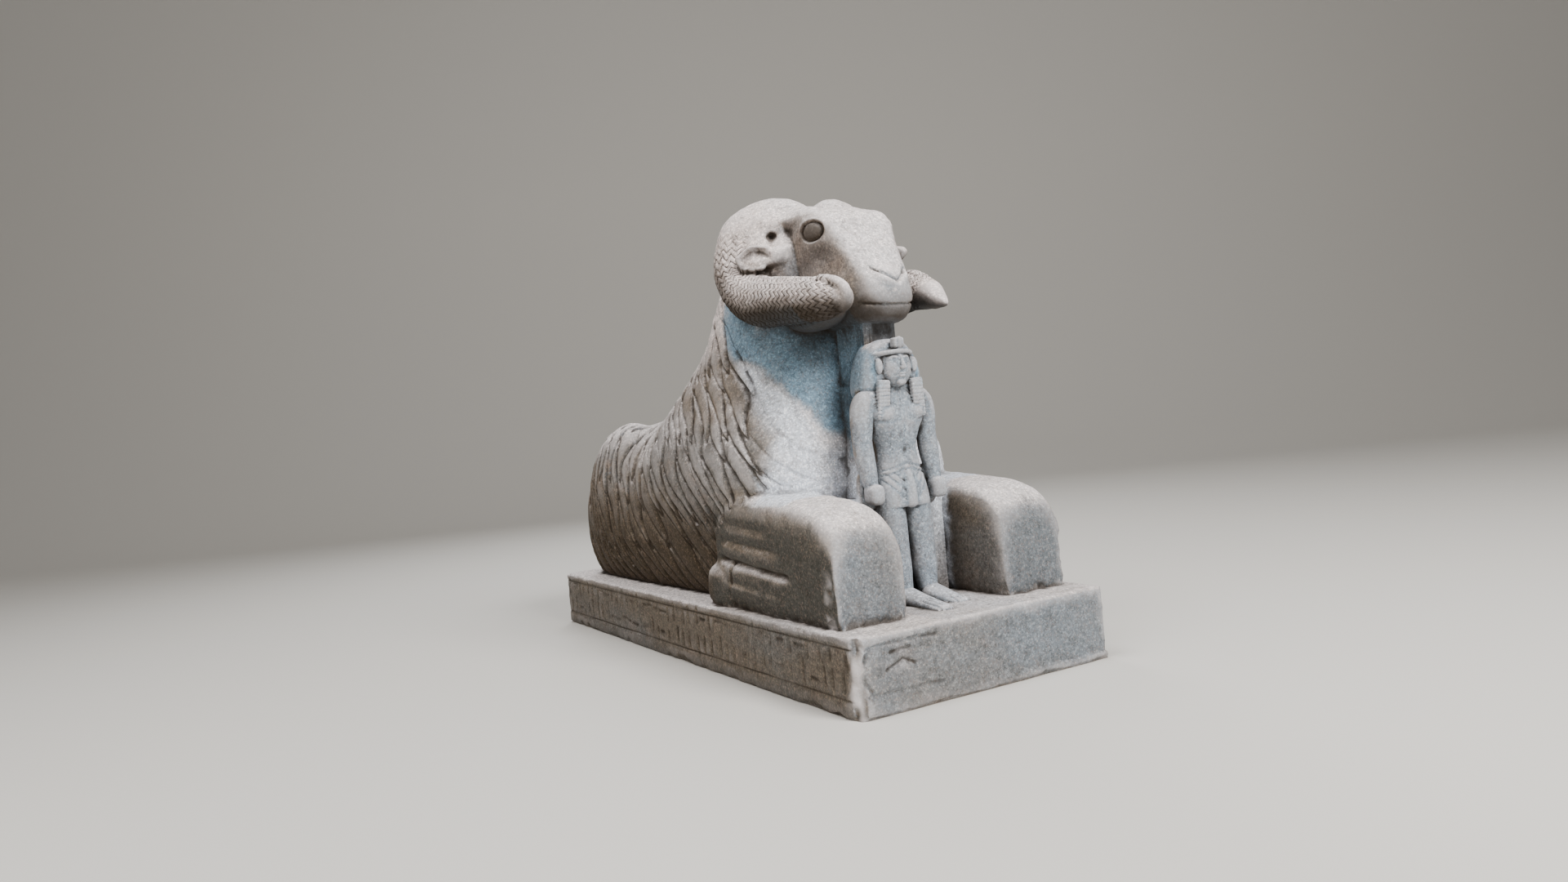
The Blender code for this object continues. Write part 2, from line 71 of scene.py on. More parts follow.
# Voxel size of each mass while it is carved, rounds of softening, and the triangles that it keeps
BEAST_GRAIN, BEAST_SOFTENING, BEAST_TRIANGLES = 0.0032, 28, 97000
HEAD_GRAIN, HEAD_SOFTENING, HEAD_TRIANGLES = 0.0024, 14, 42000
KING_GRAIN, KING_SOFTENING, KING_TRIANGLES = 0.0016, 4, 17000
KING_HEAD_GRAIN, KING_HEAD_SOFTENING, KING_HEAD_TRIANGLES = 0.0011, 3, 12000
PLINTH_GRAIN, PLINTH_SOFTENING, PLINTH_TRIANGLES = 0.0034, 1, 50000


def metres(name, description, default, least=0.0):
    return bpy.props.FloatProperty(name=name, description=description, default=default, min=least,
                                   unit="LENGTH")


def tint(name, description, red, green, blue):
    return bpy.props.FloatVectorProperty(name=name, description=description, default=(red, green, blue, 1),
                                         subtype="COLOR", size=4, min=0, max=1)


class StoneSizes(bpy.types.PropertyGroup):
    plinth_length: metres("Plinth length", "Length of the plinth, along the ram", STONE_SIZE.y, 0.1)
    plinth_width: metres("Plinth width", "Width of the plinth, across the ram", STONE_SIZE.x, 0.1)
    plinth_height: metres("Plinth height", "Height of the plinth", 0.15, 0.02)
    statue_height: metres("Whole height", "Height from the floor to the top of the horns", STONE_HIGH.z, 0.2)
    lock_width: metres("Lock width", "Width of one carved lock of fleece", 0.060, 0.01)
    lock_length: metres("Lock length", "Length of one carved lock of fleece", 0.35, 0.05)
    lock_depth: metres("Lock depth", "How far the locks round down at their sides", 0.0045)
    groove_depth: metres("Groove depth", "Depth of the narrow groove along each lock", 0.0048)
    scale_pitch: metres("Horn scale pitch", "Spacing of the scales along the horns", 0.0150, 0.004)
    scale_depth: metres("Horn scale depth", "Depth of the horns' scales", 0.0019)
    stroke_depth: metres("Stroke depth", "Depth of the inscribed strokes", 0.0040)


class StoneColours(bpy.types.PropertyGroup):
    tan: tint("Tan", "Main colour of the stone", 0.165, 0.134, 0.101)
    # Grey also paints cool light on stone that faces the front
    grey: tint("Grey", "Grey bands in the stone", 0.185, 0.225, 0.265)
    # Blue paints the cool shadow that the ram's head casts below it
    blue: tint("Blue", "Bluish patches", 0.175, 0.290, 0.39)
    # Pale also paints light on stone that faces up
    pale: tint("Pale", "Rubbed and pale stone", 0.86, 0.81, 0.81)
    cool: tint("Cool", "Cool pale stone on the chest and behind the king", 0.55, 0.67, 0.81)
    warm: tint("Warm", "Orange-pink tint", 0.42, 0.28, 0.21)
    # Brown also paints shade, low on the flanks and in sheltered places
    brown: tint("Brown", "Dark stone low on the flanks", 0.036, 0.024, 0.011)
    # Painted shade on the forelegs' sides and round the plinth
    side_shade: tint("Dusky", "Dark grey stone on the forelegs' sides and round the plinth", 0.050, 0.049, 0.042)
    # Darkens grooves and hollows, and paints shade under the jaw and on stone that faces down
    hollow_dark_and_shade: tint("Dirt", "Dirt in the hollows", 0.020, 0.012, 0.005)
    floor: tint("Floor", "Colour of the floor", 0.72, 0.70, 0.66)


# Rough forms

def smooth_path(points, steps):
    """Catmull-Rom points through rows of numbers, with this many steps in each span."""
    rows = np.array(points, float)
    padded = np.vstack([2 * rows[0] - rows[1], rows, 2 * rows[-1] - rows[-2]])
    path = []
    for a, b, c, d in zip(padded, padded[1:], padded[2:], padded[3:]):
        for t in np.arange(steps) / steps:
            path.append(
                0.5 * (2 * b + (c - a) * t + (2 * a - 5 * b + 4 * c - d) * t**2
                       + (3 * b - a - 3 * c + d) * t**3)
            )
    path.append(rows[-1])
    return np.array(path)


def smoothstep(low, high, value):
    t = np.clip((value - low) / (high - low), 0.0, 1.0)
    return t * t * (3 - 2 * t)


def groove(offset, breadth):
    """1 in the middle of a rounded groove, falling to 0 beyond its breadth."""
    return np.exp(-((offset / breadth) ** 2))


def even_directions(count):
    """Unit vectors spread evenly over a ball."""
    turn = math.pi * (3 - math.sqrt(5))
    directions = []
    for k in range(count):
        up = 1 - 2 * (k + 0.5) / count
        flat = math.sqrt(1 - up * up)
        directions.append((flat * math.cos(turn * k), flat * math.sin(turn * k), up))
    return directions


def oval_reach(y, z, middle, half_size):
    """Distance from an oval's middle, as a share of the way to its rim."""
    return np.hypot((y - middle[0]) / half_size[0], (z - middle[1]) / half_size[1])


def baked(obj):
    """The object's evaluated mesh as a new mesh of its own."""
    bpy.context.view_layer.update()
    graph = bpy.context.evaluated_depsgraph_get()
    return bpy.data.meshes.new_from_object(obj.evaluated_get(graph))


def new_object(name, data):
    obj = bpy.data.objects.new(name, data)
    bpy.context.scene.collection.objects.link(obj)
    return obj


def placed(centre, size, turn):
    """The matrix that brings a unit form to this centre, size and turn in degrees."""
    place = Matrix.Translation(centre) @ Euler([math.radians(a) for a in turn]).to_matrix().to_4x4()
    return place @ Matrix.Diagonal((*size, 1))


class Block:
    """The rough forms of one carved mass, gathered in one bmesh before they are fused."""

    def __init__(self):
        self.bm = bmesh.new()

    def ellipsoid(self, centre, radii, turn=(0, 0, 0)):
        bmesh.ops.create_icosphere(self.bm, subdivisions=4, radius=1, matrix=placed(centre, radii, turn))

    def slab(self, centre, size, turn=(0, 0, 0), round_off=0.0):
        made = bmesh.ops.create_cube(self.bm, size=1, matrix=placed(centre, size, turn))
        if round_off:
            edges = list({e for v in made["verts"] for e in v.link_edges})
            bmesh.ops.bevel(self.bm, geom=edges, offset=round_off, segments=4, affect="EDGES", profile=0.5)

    def hull(self, balls):
        """The tight skin round rows of x, y, z, radius."""
        verts = []
        for x, y, z, radius in balls:
            for way in even_directions(HULL_DIRECTIONS):
                verts.append(self.bm.verts.new(Vector((x, y, z)) + radius * Vector(way)))
        bmesh.ops.convex_hull(self.bm, input=verts)
        inside = [vert for vert in verts if vert.is_valid and not vert.link_faces]
        bmesh.ops.delete(self.bm, geom=inside, context="VERTS")

    def loft(self, rings):
        """A closed skin over rings of equally many points."""
        rows = [[self.bm.verts.new(p) for p in ring] for ring in rings]
        count = len(rows[0])
        faces = []
        for low, high in zip(rows, rows[1:]):
            for i in range(count):
                j = (i + 1) % count
                faces.append(self.bm.faces.new((low[i], low[j], high[j], high[i])))
        faces.append(self.bm.faces.new(list(reversed(rows[0]))))
        faces.append(self.bm.faces.new(rows[-1]))
        bmesh.ops.recalc_face_normals(self.bm, faces=faces)

    def tube(self, points, steps=10, flat=1.0):
        """A round limb through rows of x, y, z, radius, with ball ends. flat squeezes it along X."""
        path = smooth_path(points, steps)
        tangents = [Vector(t).normalized() for t in np.gradient(path[:, :3], axis=0)]
        turn = tangents[0].to_track_quat("Z", "Y").to_matrix()
        before = tangents[0]
        rings = []
        for row, tangent in zip(path, tangents):
            turn = before.rotation_difference(tangent).to_matrix() @ turn
            before = tangent
            ring = []
            for k in range(TUBE_POINTS):
                angle = 2 * math.pi * k / TUBE_POINTS
                offset = turn @ Vector((math.cos(angle), math.sin(angle), 0)) * row[3]
                ring.append(Vector(row[:3]) + Vector((offset.x * flat, offset.y, offset.z)))
            rings.append(ring)
        self.loft(rings)
        for end in (path[0], path[-1]):
            self.ellipsoid(end[:3], (end[3] * flat, end[3], end[3]))

    def fused(self, name, grain, softening):
        """The forms remeshed into one skin, softened and returned as an object."""
        mesh = bpy.data.meshes.new(name)
        self.bm.to_mesh(mesh)
        self.bm.free()
        obj = new_object(name, mesh)
        remesh = obj.modifiers.new("fuse", "REMESH")
        remesh.mode = "VOXEL"
        remesh.voxel_size = grain
        soften = obj.modifiers.new("soften", "SMOOTH")
        soften.factor = 0.5
        soften.iterations = softening
        obj.data = baked(obj)
        obj.modifiers.clear()
        return obj


def superellipse(square):
    """Unit superellipse points as (across, up) pairs."""
    points = []
    for k in range(RING_POINTS):
        angle = 2 * math.pi * k / RING_POINTS
        across, up = math.cos(angle), math.sin(angle)
        points.append(
            (math.copysign(abs(across) ** (2 / square), across), math.copysign(abs(up) ** (2 / square), up))
        )
    return points


def upright_rings(stations, square, foot=1.0, middle=0.0):
    """Rings in XZ planes from rows of y, half width, bottom, top. foot narrows the underside."""
    rings = []
    for y, half_width, low, high in smooth_path(stations, 8):
        centre, half = (low + high) / 2, (high - low) / 2
        ring = []
        for across, up in superellipse(square):
            narrow = 1 - (1 - foot) * max(0.0, -up)
            ring.append(Vector((middle + across * half_width * narrow, y, centre + up * half)))
        rings.append(ring)
    return rings


def level_rings(stations):
    """Rings in XY planes from rows of z, half width, front y, back y, squareness."""
    rings = []
    for z, half_width, front, back, square in smooth_path(stations, 8):
        centre, half = (front + back) / 2, (back - front) / 2
        outline = superellipse(square)
        rings.append([Vector((across * half_width, centre + along * half, z)) for across, along in outline])
    return rings


# Proportions, in metres, of a ram that rises MODEL_RAM_HEIGHT above a plinth whose top is z = 0.
# carved_to_size() brings the carved masses to the sizes of the panel.

BODY_STATIONS = (
    # y, half width, bottom, top
    (0.785, 0.08, 0.02, 0.23),
    (0.762, 0.205, -0.08, 0.318),
    (0.70, 0.262, -0.10, 0.382),
    (0.56, 0.284, -0.10, 0.426),
    (0.40, 0.286, -0.10, 0.446),
    (0.18, 0.276, -0.10, 0.452),
    (-0.05, 0.266, -0.10, 0.453),
    (-0.25, 0.250, -0.06, 0.445),
    (-0.38, 0.205, -0.03, 0.41),
    (-0.45, 0.13, -0.02, 0.34),
)

NECK_STATIONS = (
    # z, half width, front y, back y, squareness
    (0.06, 0.250, -0.420, 0.440, 3.5),
    (0.22, 0.284, -0.465, 0.420, 4.2),
    (0.30, 0.286, -0.468, 0.390, 4.2),
    (0.36, 0.273, -0.464, 0.350, 3.6),
    (0.46, 0.238, -0.449, 0.245, 2.7),
    (0.56, 0.204, -0.436, 0.118, 2.3),
    (0.66, 0.174, -0.430, 0.055, 2.2),
    (0.74, 0.154, -0.424, 0.010, 2.2),
    (0.79, 0.136, -0.400, -0.030, 2.2),
    (0.825, 0.104, -0.380, -0.085, 2.2),
    (0.845, 0.060, -0.350, -0.150, 2.2),
    (0.852, 0.020, -0.310, -0.220, 2.2),
)

# The squared block of a folded foreleg, from the knee back
FORELEG_STATIONS = (
    # y, half width, bottom, top
    (-0.728, 0.076, -0.02, 0.120),
    (-0.722, 0.084, -0.02, 0.160),
    (-0.700, 0.087, -0.03, 0.196),
    (-0.650, 0.088, -0.03, 0.225),
    (-0.540, 0.088, -0.03, 0.241),
    (-0.400, 0.086, -0.03, 0.250),
    (-0.280, 0.081, -0.03, 0.254),
    (-0.190, 0.066, -0.03, 0.200),
)

# Paired forms, as rows of x, y, z, radius on the left: on_side() places them on either side
UPPER_ARM = ((0.198, -0.50, 0.155, 0.080), (0.198, -0.30, 0.170, 0.082), (0.185, -0.12, 0.20, 0.085))
SHANK = ((0.255, -0.50, 0.045, 0.040), (0.257, -0.36, 0.045, 0.038), (0.257, -0.245, 0.045, 0.034))
KING_LEG = ((0.033, -0.560, 0.215, 0.0325), (0.0335, -0.568, 0.170, 0.0310), (0.033, -0.574, 0.105, 0.0270),
            (0.033, -0.574, 0.070, 0.0285), (0.032, -0.582, 0.024, 0.0215), (0.032, -0.586, 0.004, 0.0225))
KING_ARM = ((0.050, -0.560, 0.424, 0.028), (0.071, -0.560, 0.417, 0.0275), (0.080, -0.560, 0.390, 0.0250),
            (0.083, -0.558, 0.345, 0.0215), (0.083, -0.562, 0.308, 0.0215), (0.082, -0.572, 0.256, 0.0165))
KING_HAND = ((0.076, -0.548, 0.262, 0.020), (0.078, -0.545, 0.215, 0.022))
KING_EYEBROW = ((0.005, -0.608, 0.5085, 0.0020), (0.016, -0.605, 0.5115, 0.0024),
                (0.027, -0.596, 0.5075, 0.0018))

HEAD_STATIONS = (
    # y, top, half width and height of the brow edge, of the cheek and of the jaw, bottom
    (-0.12, 0.800, 0.045, 0.785, 0.060, 0.740, 0.045, 0.695, 0.680),
    (-0.18, 0.845, 0.070, 0.825, 0.095, 0.740, 0.075, 0.660, 0.630),
    (-0.27, 0.866, 0.085, 0.846, 0.106, 0.740, 0.090, 0.650, 0.600),
    (-0.36, 0.874, 0.092, 0.853, 0.102, 0.740, 0.090, 0.650, 0.590),
    (-0.43, 0.861, 0.101, 0.843, 0.101, 0.745, 0.088, 0.645, 0.586),
    (-0.475, 0.848, 0.093, 0.829, 0.091, 0.727, 0.084, 0.640, 0.586),
    (-0.503, 0.822, 0.083, 0.803, 0.084, 0.713, 0.079, 0.637, 0.586),
    (-0.524, 0.791, 0.075, 0.770, 0.079, 0.703, 0.075, 0.635, 0.586),
    (-0.548, 0.757, 0.066, 0.735, 0.071, 0.690, 0.069, 0.632, 0.586),
    (-0.572, 0.719, 0.058, 0.700, 0.064, 0.670, 0.062, 0.628, 0.587),
    (-0.592, 0.688, 0.047, 0.674, 0.055, 0.650, 0.053, 0.622, 0.590),
    (-0.606, 0.665, 0.033, 0.656, 0.040, 0.640, 0.039, 0.620, 0.598),
    (-0.613, 0.647, 0.018, 0.642, 0.022, 0.632, 0.021, 0.622, 0.612),
)

HORN_PATH = (
    # distance from the middle plane, y, z, radius
    (0.036, -0.345, 0.828, 0.044),
    (0.070, -0.287, 0.856, 0.058),
    (0.136, -0.250, 0.832, 0.061),
    (0.167, -0.252, 0.767, 0.060),
    (0.173, -0.280, 0.706, 0.058),
)
# The right horn ends in a blunt lobe and the left one in a point
HORN_END_RIGHT = ((0.174, -0.355, 0.668, 0.056), (0.170, -0.450, 0.655, 0.052), (0.164, -0.535, 0.645, 0.047),
                  (0.157, -0.590, 0.638, 0.041), (0.148, -0.620, 0.636, 0.030))
HORN_END_LEFT = ((0.174, -0.355, 0.676, 0.053), (0.165, -0.450, 0.670, 0.046), (0.156, -0.515, 0.652, 0.035),
                 (0.146, -0.560, 0.635, 0.022), (0.136, -0.603, 0.619, 0.005))

# The smooth lip at the tip of the right horn, as rows of x, y, z, radius, and the groove inside it
LIP = ((-0.166, -0.590, 0.682, 0.006), (-0.158, -0.626, 0.669, 0.010), (-0.150, -0.646, 0.650, 0.012),
       (-0.147, -0.648, 0.627, 0.011), (-0.150, -0.638, 0.612, 0.007))
LIP_GROOVE = ((-0.178, -0.578, 0.680), (-0.172, -0.602, 0.667), (-0.167, -0.622, 0.648),
              (-0.164, -0.630, 0.626), (-0.160, -0.626, 0.608))

# Balls of x, y, z, radius: the brow running into the horn, the stone inside the horn's curl, and the ear
BROW = ((0.066, -0.290, 0.852, 0.042), (0.105, -0.306, 0.842, 0.024), (0.088, -0.372, 0.843, 0.017),
        (0.080, -0.440, 0.836, 0.013), (0.045, -0.400, 0.850, 0.020))
HORN_FILL = ((0.070, -0.287, 0.856, 0.052), (0.136, -0.250, 0.832, 0.061), (0.167, -0.252, 0.767, 0.060),
             (0.104, -0.345, 0.838, 0.020), (0.112, -0.350, 0.795, 0.020), (0.146, -0.330, 0.778, 0.026),
             (0.150, -0.328, 0.722, 0.030))
EAR_LEAF = ((0.198, -0.328, 0.749, 0.012), (0.182, -0.341, 0.782, 0.013), (0.176, -0.365, 0.744, 0.012),
            (0.155, -0.358, 0.781, 0.013))
EAR_TIP_RIGHT = (0.204, -0.325, 0.765, 0.012)
EAR_TIP_LEFT = (0.236, -0.330, 0.781, 0.013)
EAR_NECK = ((0.176, -0.345, 0.772, 0.013), (0.172, -0.366, 0.756, 0.012), (0.118, -0.384, 0.776, 0.014),
            (0.118, -0.384, 0.757, 0.014), (0.085, -0.352, 0.758, 0.030))

# The back pillar, and the king's headcloth in front of it
PILLAR_STATIONS = (
    # z, half width, front y, back y, squareness
    (0.200, 0.076, -0.530, -0.40, 5),
    (0.320, 0.062, -0.530, -0.40, 5),
    (0.440, 0.054, -0.536, -0.40, 5),
    (0.470, 0.046, -0.546, -0.40, 5),
    (0.520, 0.042, -0.554, -0.40, 5),
    (0.600, 0.041, -0.556, -0.40, 5),
)
HEADCLOTH_STATIONS = (
    # z, half width, front y, back y, squareness
    (0.428, 0.066, -0.566, -0.50, 3.2),
    (0.445, 0.076, -0.582, -0.50, 3.6),
    (0.470, 0.076, -0.588, -0.50, 3.6),
    (0.500, 0.069, -0.589, -0.50, 3.4),
    (0.524, 0.058, -0.588, -0.50, 3.0),
    (0.542, 0.044, -0.584, -0.50, 2.6),
    (0.552, 0.024, -0.574, -0.50, 2.4),
)

# The king's trunk with his kilt
TRUNK_STATIONS = (
    # z, half width, front y, back y, squareness
    (0.452, 0.030, -0.586, -0.50, 2.4),
    (0.438, 0.060, -0.588, -0.50, 2.6),
    (0.424, 0.080, -0.591, -0.50, 2.8),
    (0.405, 0.080, -0.598, -0.50, 2.8),
    (0.382, 0.070, -0.602, -0.50, 2.6),
    (0.355, 0.058, -0.596, -0.50, 2.5),
    (0.325, 0.049, -0.590, -0.50, 2.5),
    (0.300, 0.050, -0.593, -0.50, 2.5),
    (0.272, 0.055, -0.596, -0.50, 2.6),
    (0.240, 0.061, -0.600, -0.50, 2.8),
    (0.205, 0.064, -0.602, -0.50, 3.0),
    (0.198, 0.062, -0.600, -0.50, 3.0),
)

# The king's feet, as rows of x, y, z, radius: the left one is the shorter
KING_FOOT_RIGHT = ((-0.032, -0.600, 0.010, 0.020), (-0.032, -0.655, 0.003, 0.017),
                   (-0.034, -0.722, -0.003, 0.014))
KING_FOOT_LEFT = ((0.033, -0.600, 0.010, 0.020), (0.035, -0.640, 0.003, 0.017),
                  (0.038, -0.684, -0.003, 0.014))

# The ram's eye, as (y, z), the hollow of its ear and the pit inside the horn's curl, as (x, y, z)
EYE_MIDDLE = (-0.462, 0.801)
EYE_HALF_SIZE = (0.028, 0.0195)
EAR_MIDDLE = (0.181, -0.349, 0.762)
PIT_MIDDLE = (0.130, -0.342, 0.811)

# How far the scales go along each horn, and the radius at which the way round it is measured
SCALED_LENGTH_LEFT = 0.560
SCALED_LENGTH_RIGHT = 0.680
HORN_GIRTH_RADIUS = 0.055


def on_side(rows, side):
    """Rows of x, y, z, radius on the left, where side is 1, or on the right, where it is -1."""
    return [(side * x, y, z, radius) for x, y, z, radius in rows]


def ram_body(block):
    block.loft(upright_rings(BODY_STATIONS, square=2.6, foot=0.97))
    block.loft(level_rings(NECK_STATIONS))
    for side in (-1, 1):
        block.ellipsoid((side * 0.170, 0.50, 0.205), (0.122, 0.250, 0.235))
    block.tube(((0.0, 0.735, 0.30, 0.030), (0.012, 0.775, 0.22, 0.030), (0.018, 0.785, 0.12, 0.028),
                (0.014, 0.780, 0.02, 0.024)), flat=1.3)


def foreleg(block, side):
    """A folded foreleg: the squared knee in front, the upper arm, the shank and the hoof turned back."""
    block.loft(upright_rings(FORELEG_STATIONS, square=4.5, middle=side * 0.206))
    block.tube(on_side(UPPER_ARM, side))
    block.tube(on_side(SHANK, side))
    block.slab((side * 0.257, -0.225, 0.036), (0.074, 0.150, 0.112), (8, 0, 0), 0.036)


def head_rings():
    """Rings across the head, each a soft outline through the middle line, brow edge, cheek and jaw."""
    rings = []
    for y, top, edge, edge_z, cheek, cheek_z, jaw, jaw_z, low in smooth_path(HEAD_STATIONS, 6):
        right = [(0.0, top), (edge * 0.6, top - 0.22 * (top - edge_z)), (edge, edge_z), (cheek, cheek_z),
                 (jaw, jaw_z), (jaw * 0.6, low + 0.1 * (jaw_z - low)), (0.0, low)]
        outline = right + [(-x, z) for x, z in right[-2:0:-1]]
        closed = smooth_path(outline[-2:] + outline + outline[:3], 5)[10:-15]
        rings.append([Vector((x, y, z)) for x, z in closed])
    return rings


def ram_head(block):
    block.loft(head_rings())
    block.ellipsoid((0, -0.552, 0.655), (0.068, 0.058, 0.062))
    for side in (-1, 1):
        block.ellipsoid((side * 0.100, -0.300, 0.735), (0.066, 0.100, 0.115))
    block.ellipsoid((-0.100, -0.450, 0.622), (0.050, 0.095, 0.036))


def horn_path(side):
    end = HORN_END_LEFT if side > 0 else HORN_END_RIGHT
    return on_side(HORN_PATH + end, side)


def horn_and_ear(block, side):
    block.tube(horn_path(side))
    tip = EAR_TIP_LEFT if side > 0 else EAR_TIP_RIGHT
    for balls in (BROW, HORN_FILL, EAR_LEAF + (tip,), EAR_NECK):
        block.hull(on_side(balls, side))
    if side < 0:
        block.tube(LIP)


def standing_king(block):
    """The small king against the ram's chest, in a short kilt, arms at his sides."""
    block.loft(level_rings(PILLAR_STATIONS))
    block.slab((0, -0.445, 0.085), (0.262, 0.190, 0.270), round_off=0.012)
    block.loft(level_rings(TRUNK_STATIONS))
    for side in (-1, 1):
        king_arm(block, side)
        block.ellipsoid((side * 0.033, -0.584, 0.396), (0.032, 0.018, 0.022))
        block.tube(on_side(KING_LEG, side))
    block.slab((0, -0.540, 0.10), (0.060, 0.040, 0.20))
    for foot in (KING_FOOT_RIGHT, KING_FOOT_LEFT):
        block.tube(foot, flat=1.45)
    block.tube(((0, -0.589, 0.280, 0.009), (0, -0.595, 0.240, 0.011), (0, -0.598, 0.205, 0.010)), flat=1.5)


def king_arm(block, side):
    """A straight arm held to the side, with the clenched fist at the hip."""
    block.tube(on_side(KING_ARM, side))
    block.slab((side * 0.081, -0.582, 0.231), (0.035, 0.043, 0.043), (6, 0, 0), 0.013)
    block.tube(on_side(KING_HAND, side))


def king_head(block):
    """A calm, plain face in a banded headcloth, whose lappets lie on the chest."""
    block.loft(level_rings(HEADCLOTH_STATIONS))
    block.ellipsoid((0, -0.578, 0.492), (0.0380, 0.033, 0.043))
    block.ellipsoid((0, -0.576, 0.478), (0.0355, 0.032, 0.030))
    block.ellipsoid((0, -0.601, 0.459), (0.0115, 0.0075, 0.0070))
    block.tube(((-0.050, -0.572, 0.518, 0.005), (-0.033, -0.593, 0.521, 0.005), (0, -0.606, 0.523, 0.005),
                (0.033, -0.593, 0.521, 0.005), (0.050, -0.572, 0.518, 0.005)))
    block.tube(((0, -0.606, 0.512, 0.0034), (0, -0.614, 0.493, 0.0050)))
    block.ellipsoid((0, -0.613, 0.4895), (0.0072, 0.0056, 0.0044))
    block.ellipsoid((0, -0.606, 0.4768), (0.0100, 0.0050, 0.0023))
    block.ellipsoid((0, -0.605, 0.4718), (0.0082, 0.0050, 0.0024))
    block.slab((0, -0.598, 0.541), (0.026, 0.020, 0.022), round_off=0.005)
    block.tube(((0, -0.606, 0.533, 0.005), (0, -0.606, 0.548, 0.006)))
    for side in (-1, 1):
        block.ellipsoid((side * 0.0145, -0.6025, 0.5000), (0.0080, 0.0046, 0.0034), (0, 0, side * 16))
        block.tube(on_side(KING_EYEBROW, side))
        block.ellipsoid((side * 0.0195, -0.592, 0.481), (0.0120, 0.0110, 0.0130))
        block.ellipsoid((side * 0.0440, -0.588, 0.495), (0.0085, 0.0095, 0.0165), (0, 0, side * 28))
        block.slab((side * 0.0440, -0.592, 0.425), (0.030, 0.014, 0.082), (4, side * -4, 0), 0.004)


# Carving

def folded(places):
    """x, y and z of each place, with the right side folded onto the left, as both are carved alike."""
    return np.abs(places[:, 0]), places[:, 1], places[:, 2]


def vertex_arrays(obj):
    """The object's vertex places and normals as two arrays."""
    count = len(obj.data.vertices)
    places, normals = np.empty(count * 3), np.empty(count * 3)
    obj.data.vertices.foreach_get("co", places)
    obj.data.vertex_normals.foreach_get("vector", normals)
    return places.reshape(-1, 3), normals.reshape(-1, 3)


def push(obj, places, normals, heights):
    """Moves each vertex out by its own height."""
    obj.data.vertices.foreach_set("co", (places + normals * heights[:, None]).ravel())
    obj.data.update()


def mottle(places, size, seed=0):
    """Smooth random values from -1 to 1 at each place, in lumps of about this size."""
    cell = places / size + seed * 17.31
    low = np.floor(cell)
    part = cell - low
    part = part * part * (3 - 2 * part)
    total = np.zeros(len(places))
    for dx in (0, 1):
        for dy in (0, 1):
            for dz in (0, 1):
                corner = low + (dx, dy, dz)
                value = np.sin(corner @ (127.1, 311.7, 74.7) + seed * 3.7) * 43758.5453
                value = 2 * (value - np.floor(value)) - 1
                share = np.abs(1 - dx - part[:, 0]) * np.abs(1 - dy - part[:, 1])
                total += value * (share * np.abs(1 - dz - part[:, 2]))
    return total


# Where the fleece gives way to the smooth chest: Y at the height of the back
MANE_FRONT = -0.345
FAINT_FRONT = -0.445
BACK_HEIGHT = 0.45

# A lock is as long as this many rows, narrows from its shoulder on, and starts a little early or late
LOCK_ROWS = 3
LOCK_SHOULDER = 0.22
LOCK_TAPER = 1.9
LOCK_JITTER = 0.30
JITTER_BY_COLUMN, JITTER_BY_ROW = 12.9898, 78.233

# Across and along a horn, a row of scales goes up and down: breadth and height of its zigzag, in pitches
ZIGZAG_BREADTH = 0.72
ZIGZAG_HEIGHT = 0.8


def lock_lean(start):
    """How far forward the lines of locks run for each metre down, which is less toward the rump."""
    return 0.88 - 0.52 * smoothstep(0.10, 0.50, start)


def fleece_flow(places):
    """(start, across, along) of the locks: start is the Y at back height of the line that a place lies on."""
    x, y, z = folded(places)
    start = y.copy()
    for _ in range(12):
        lean = lock_lean(start)
        sweep = 0.9 * np.clip(0.16 - z, 0, 1) ** 1.5
        start = 0.5 * (start + y + lean * (BACK_HEIGHT - z) + sweep)
    starts = np.linspace(-1.2, 1.4, 521)
    gathered = np.cumsum(1 / np.sqrt(1 + lock_lean(starts) ** 2)) * (starts[1] - starts[0])
    across = np.interp(start, starts, gathered)
    rump = 0.27 * np.arctan2(y + 0.3 * (BACK_HEIGHT - z) - 0.50, np.maximum(x, 0.02))
    rump_share = smoothstep(0.60, 0.70, start) * smoothstep(0.46, 0.38, z)
    at_rump = np.interp(0.60, starts, gathered)
    across = across * (1 - rump_share) + (at_rump + rump) * rump_share
    along = 1.2 * (0.86 - z + 0.8 * x)
    across += 0.006 * np.sin(11.0 * along + 31.0 * across) + 0.004 * np.sin(29.0 * along - 17.0 * across)
    return start, across, along


def fleece_area(places, start):
    """(area, above): 1 where the fleece is carved, 0 on the smooth chest; above is true over the forelegs."""
    x, y, z = folded(places)
    beside = (x > 0.178 + 0.060 * smoothstep(0.44, 0.32, z)) | (y > -0.30)
    faint = (start > FAINT_FRONT) & (x > 0.160 + 0.060 * smoothstep(0.46, 0.36, z))
    area = np.where((start > MANE_FRONT) & beside, 1.0, np.where(faint, 0.35, 0.0))
    area = np.where((x < 0.140) & (y < -0.10), 0.0, area)
    leg_top = np.interp(y, (-0.46, -0.40, -0.35, -0.28, -0.20, -0.16, -0.15),
                        (0.268, 0.260, 0.240, 0.205, 0.15, 0.10, -1))
    return area, z > leg_top


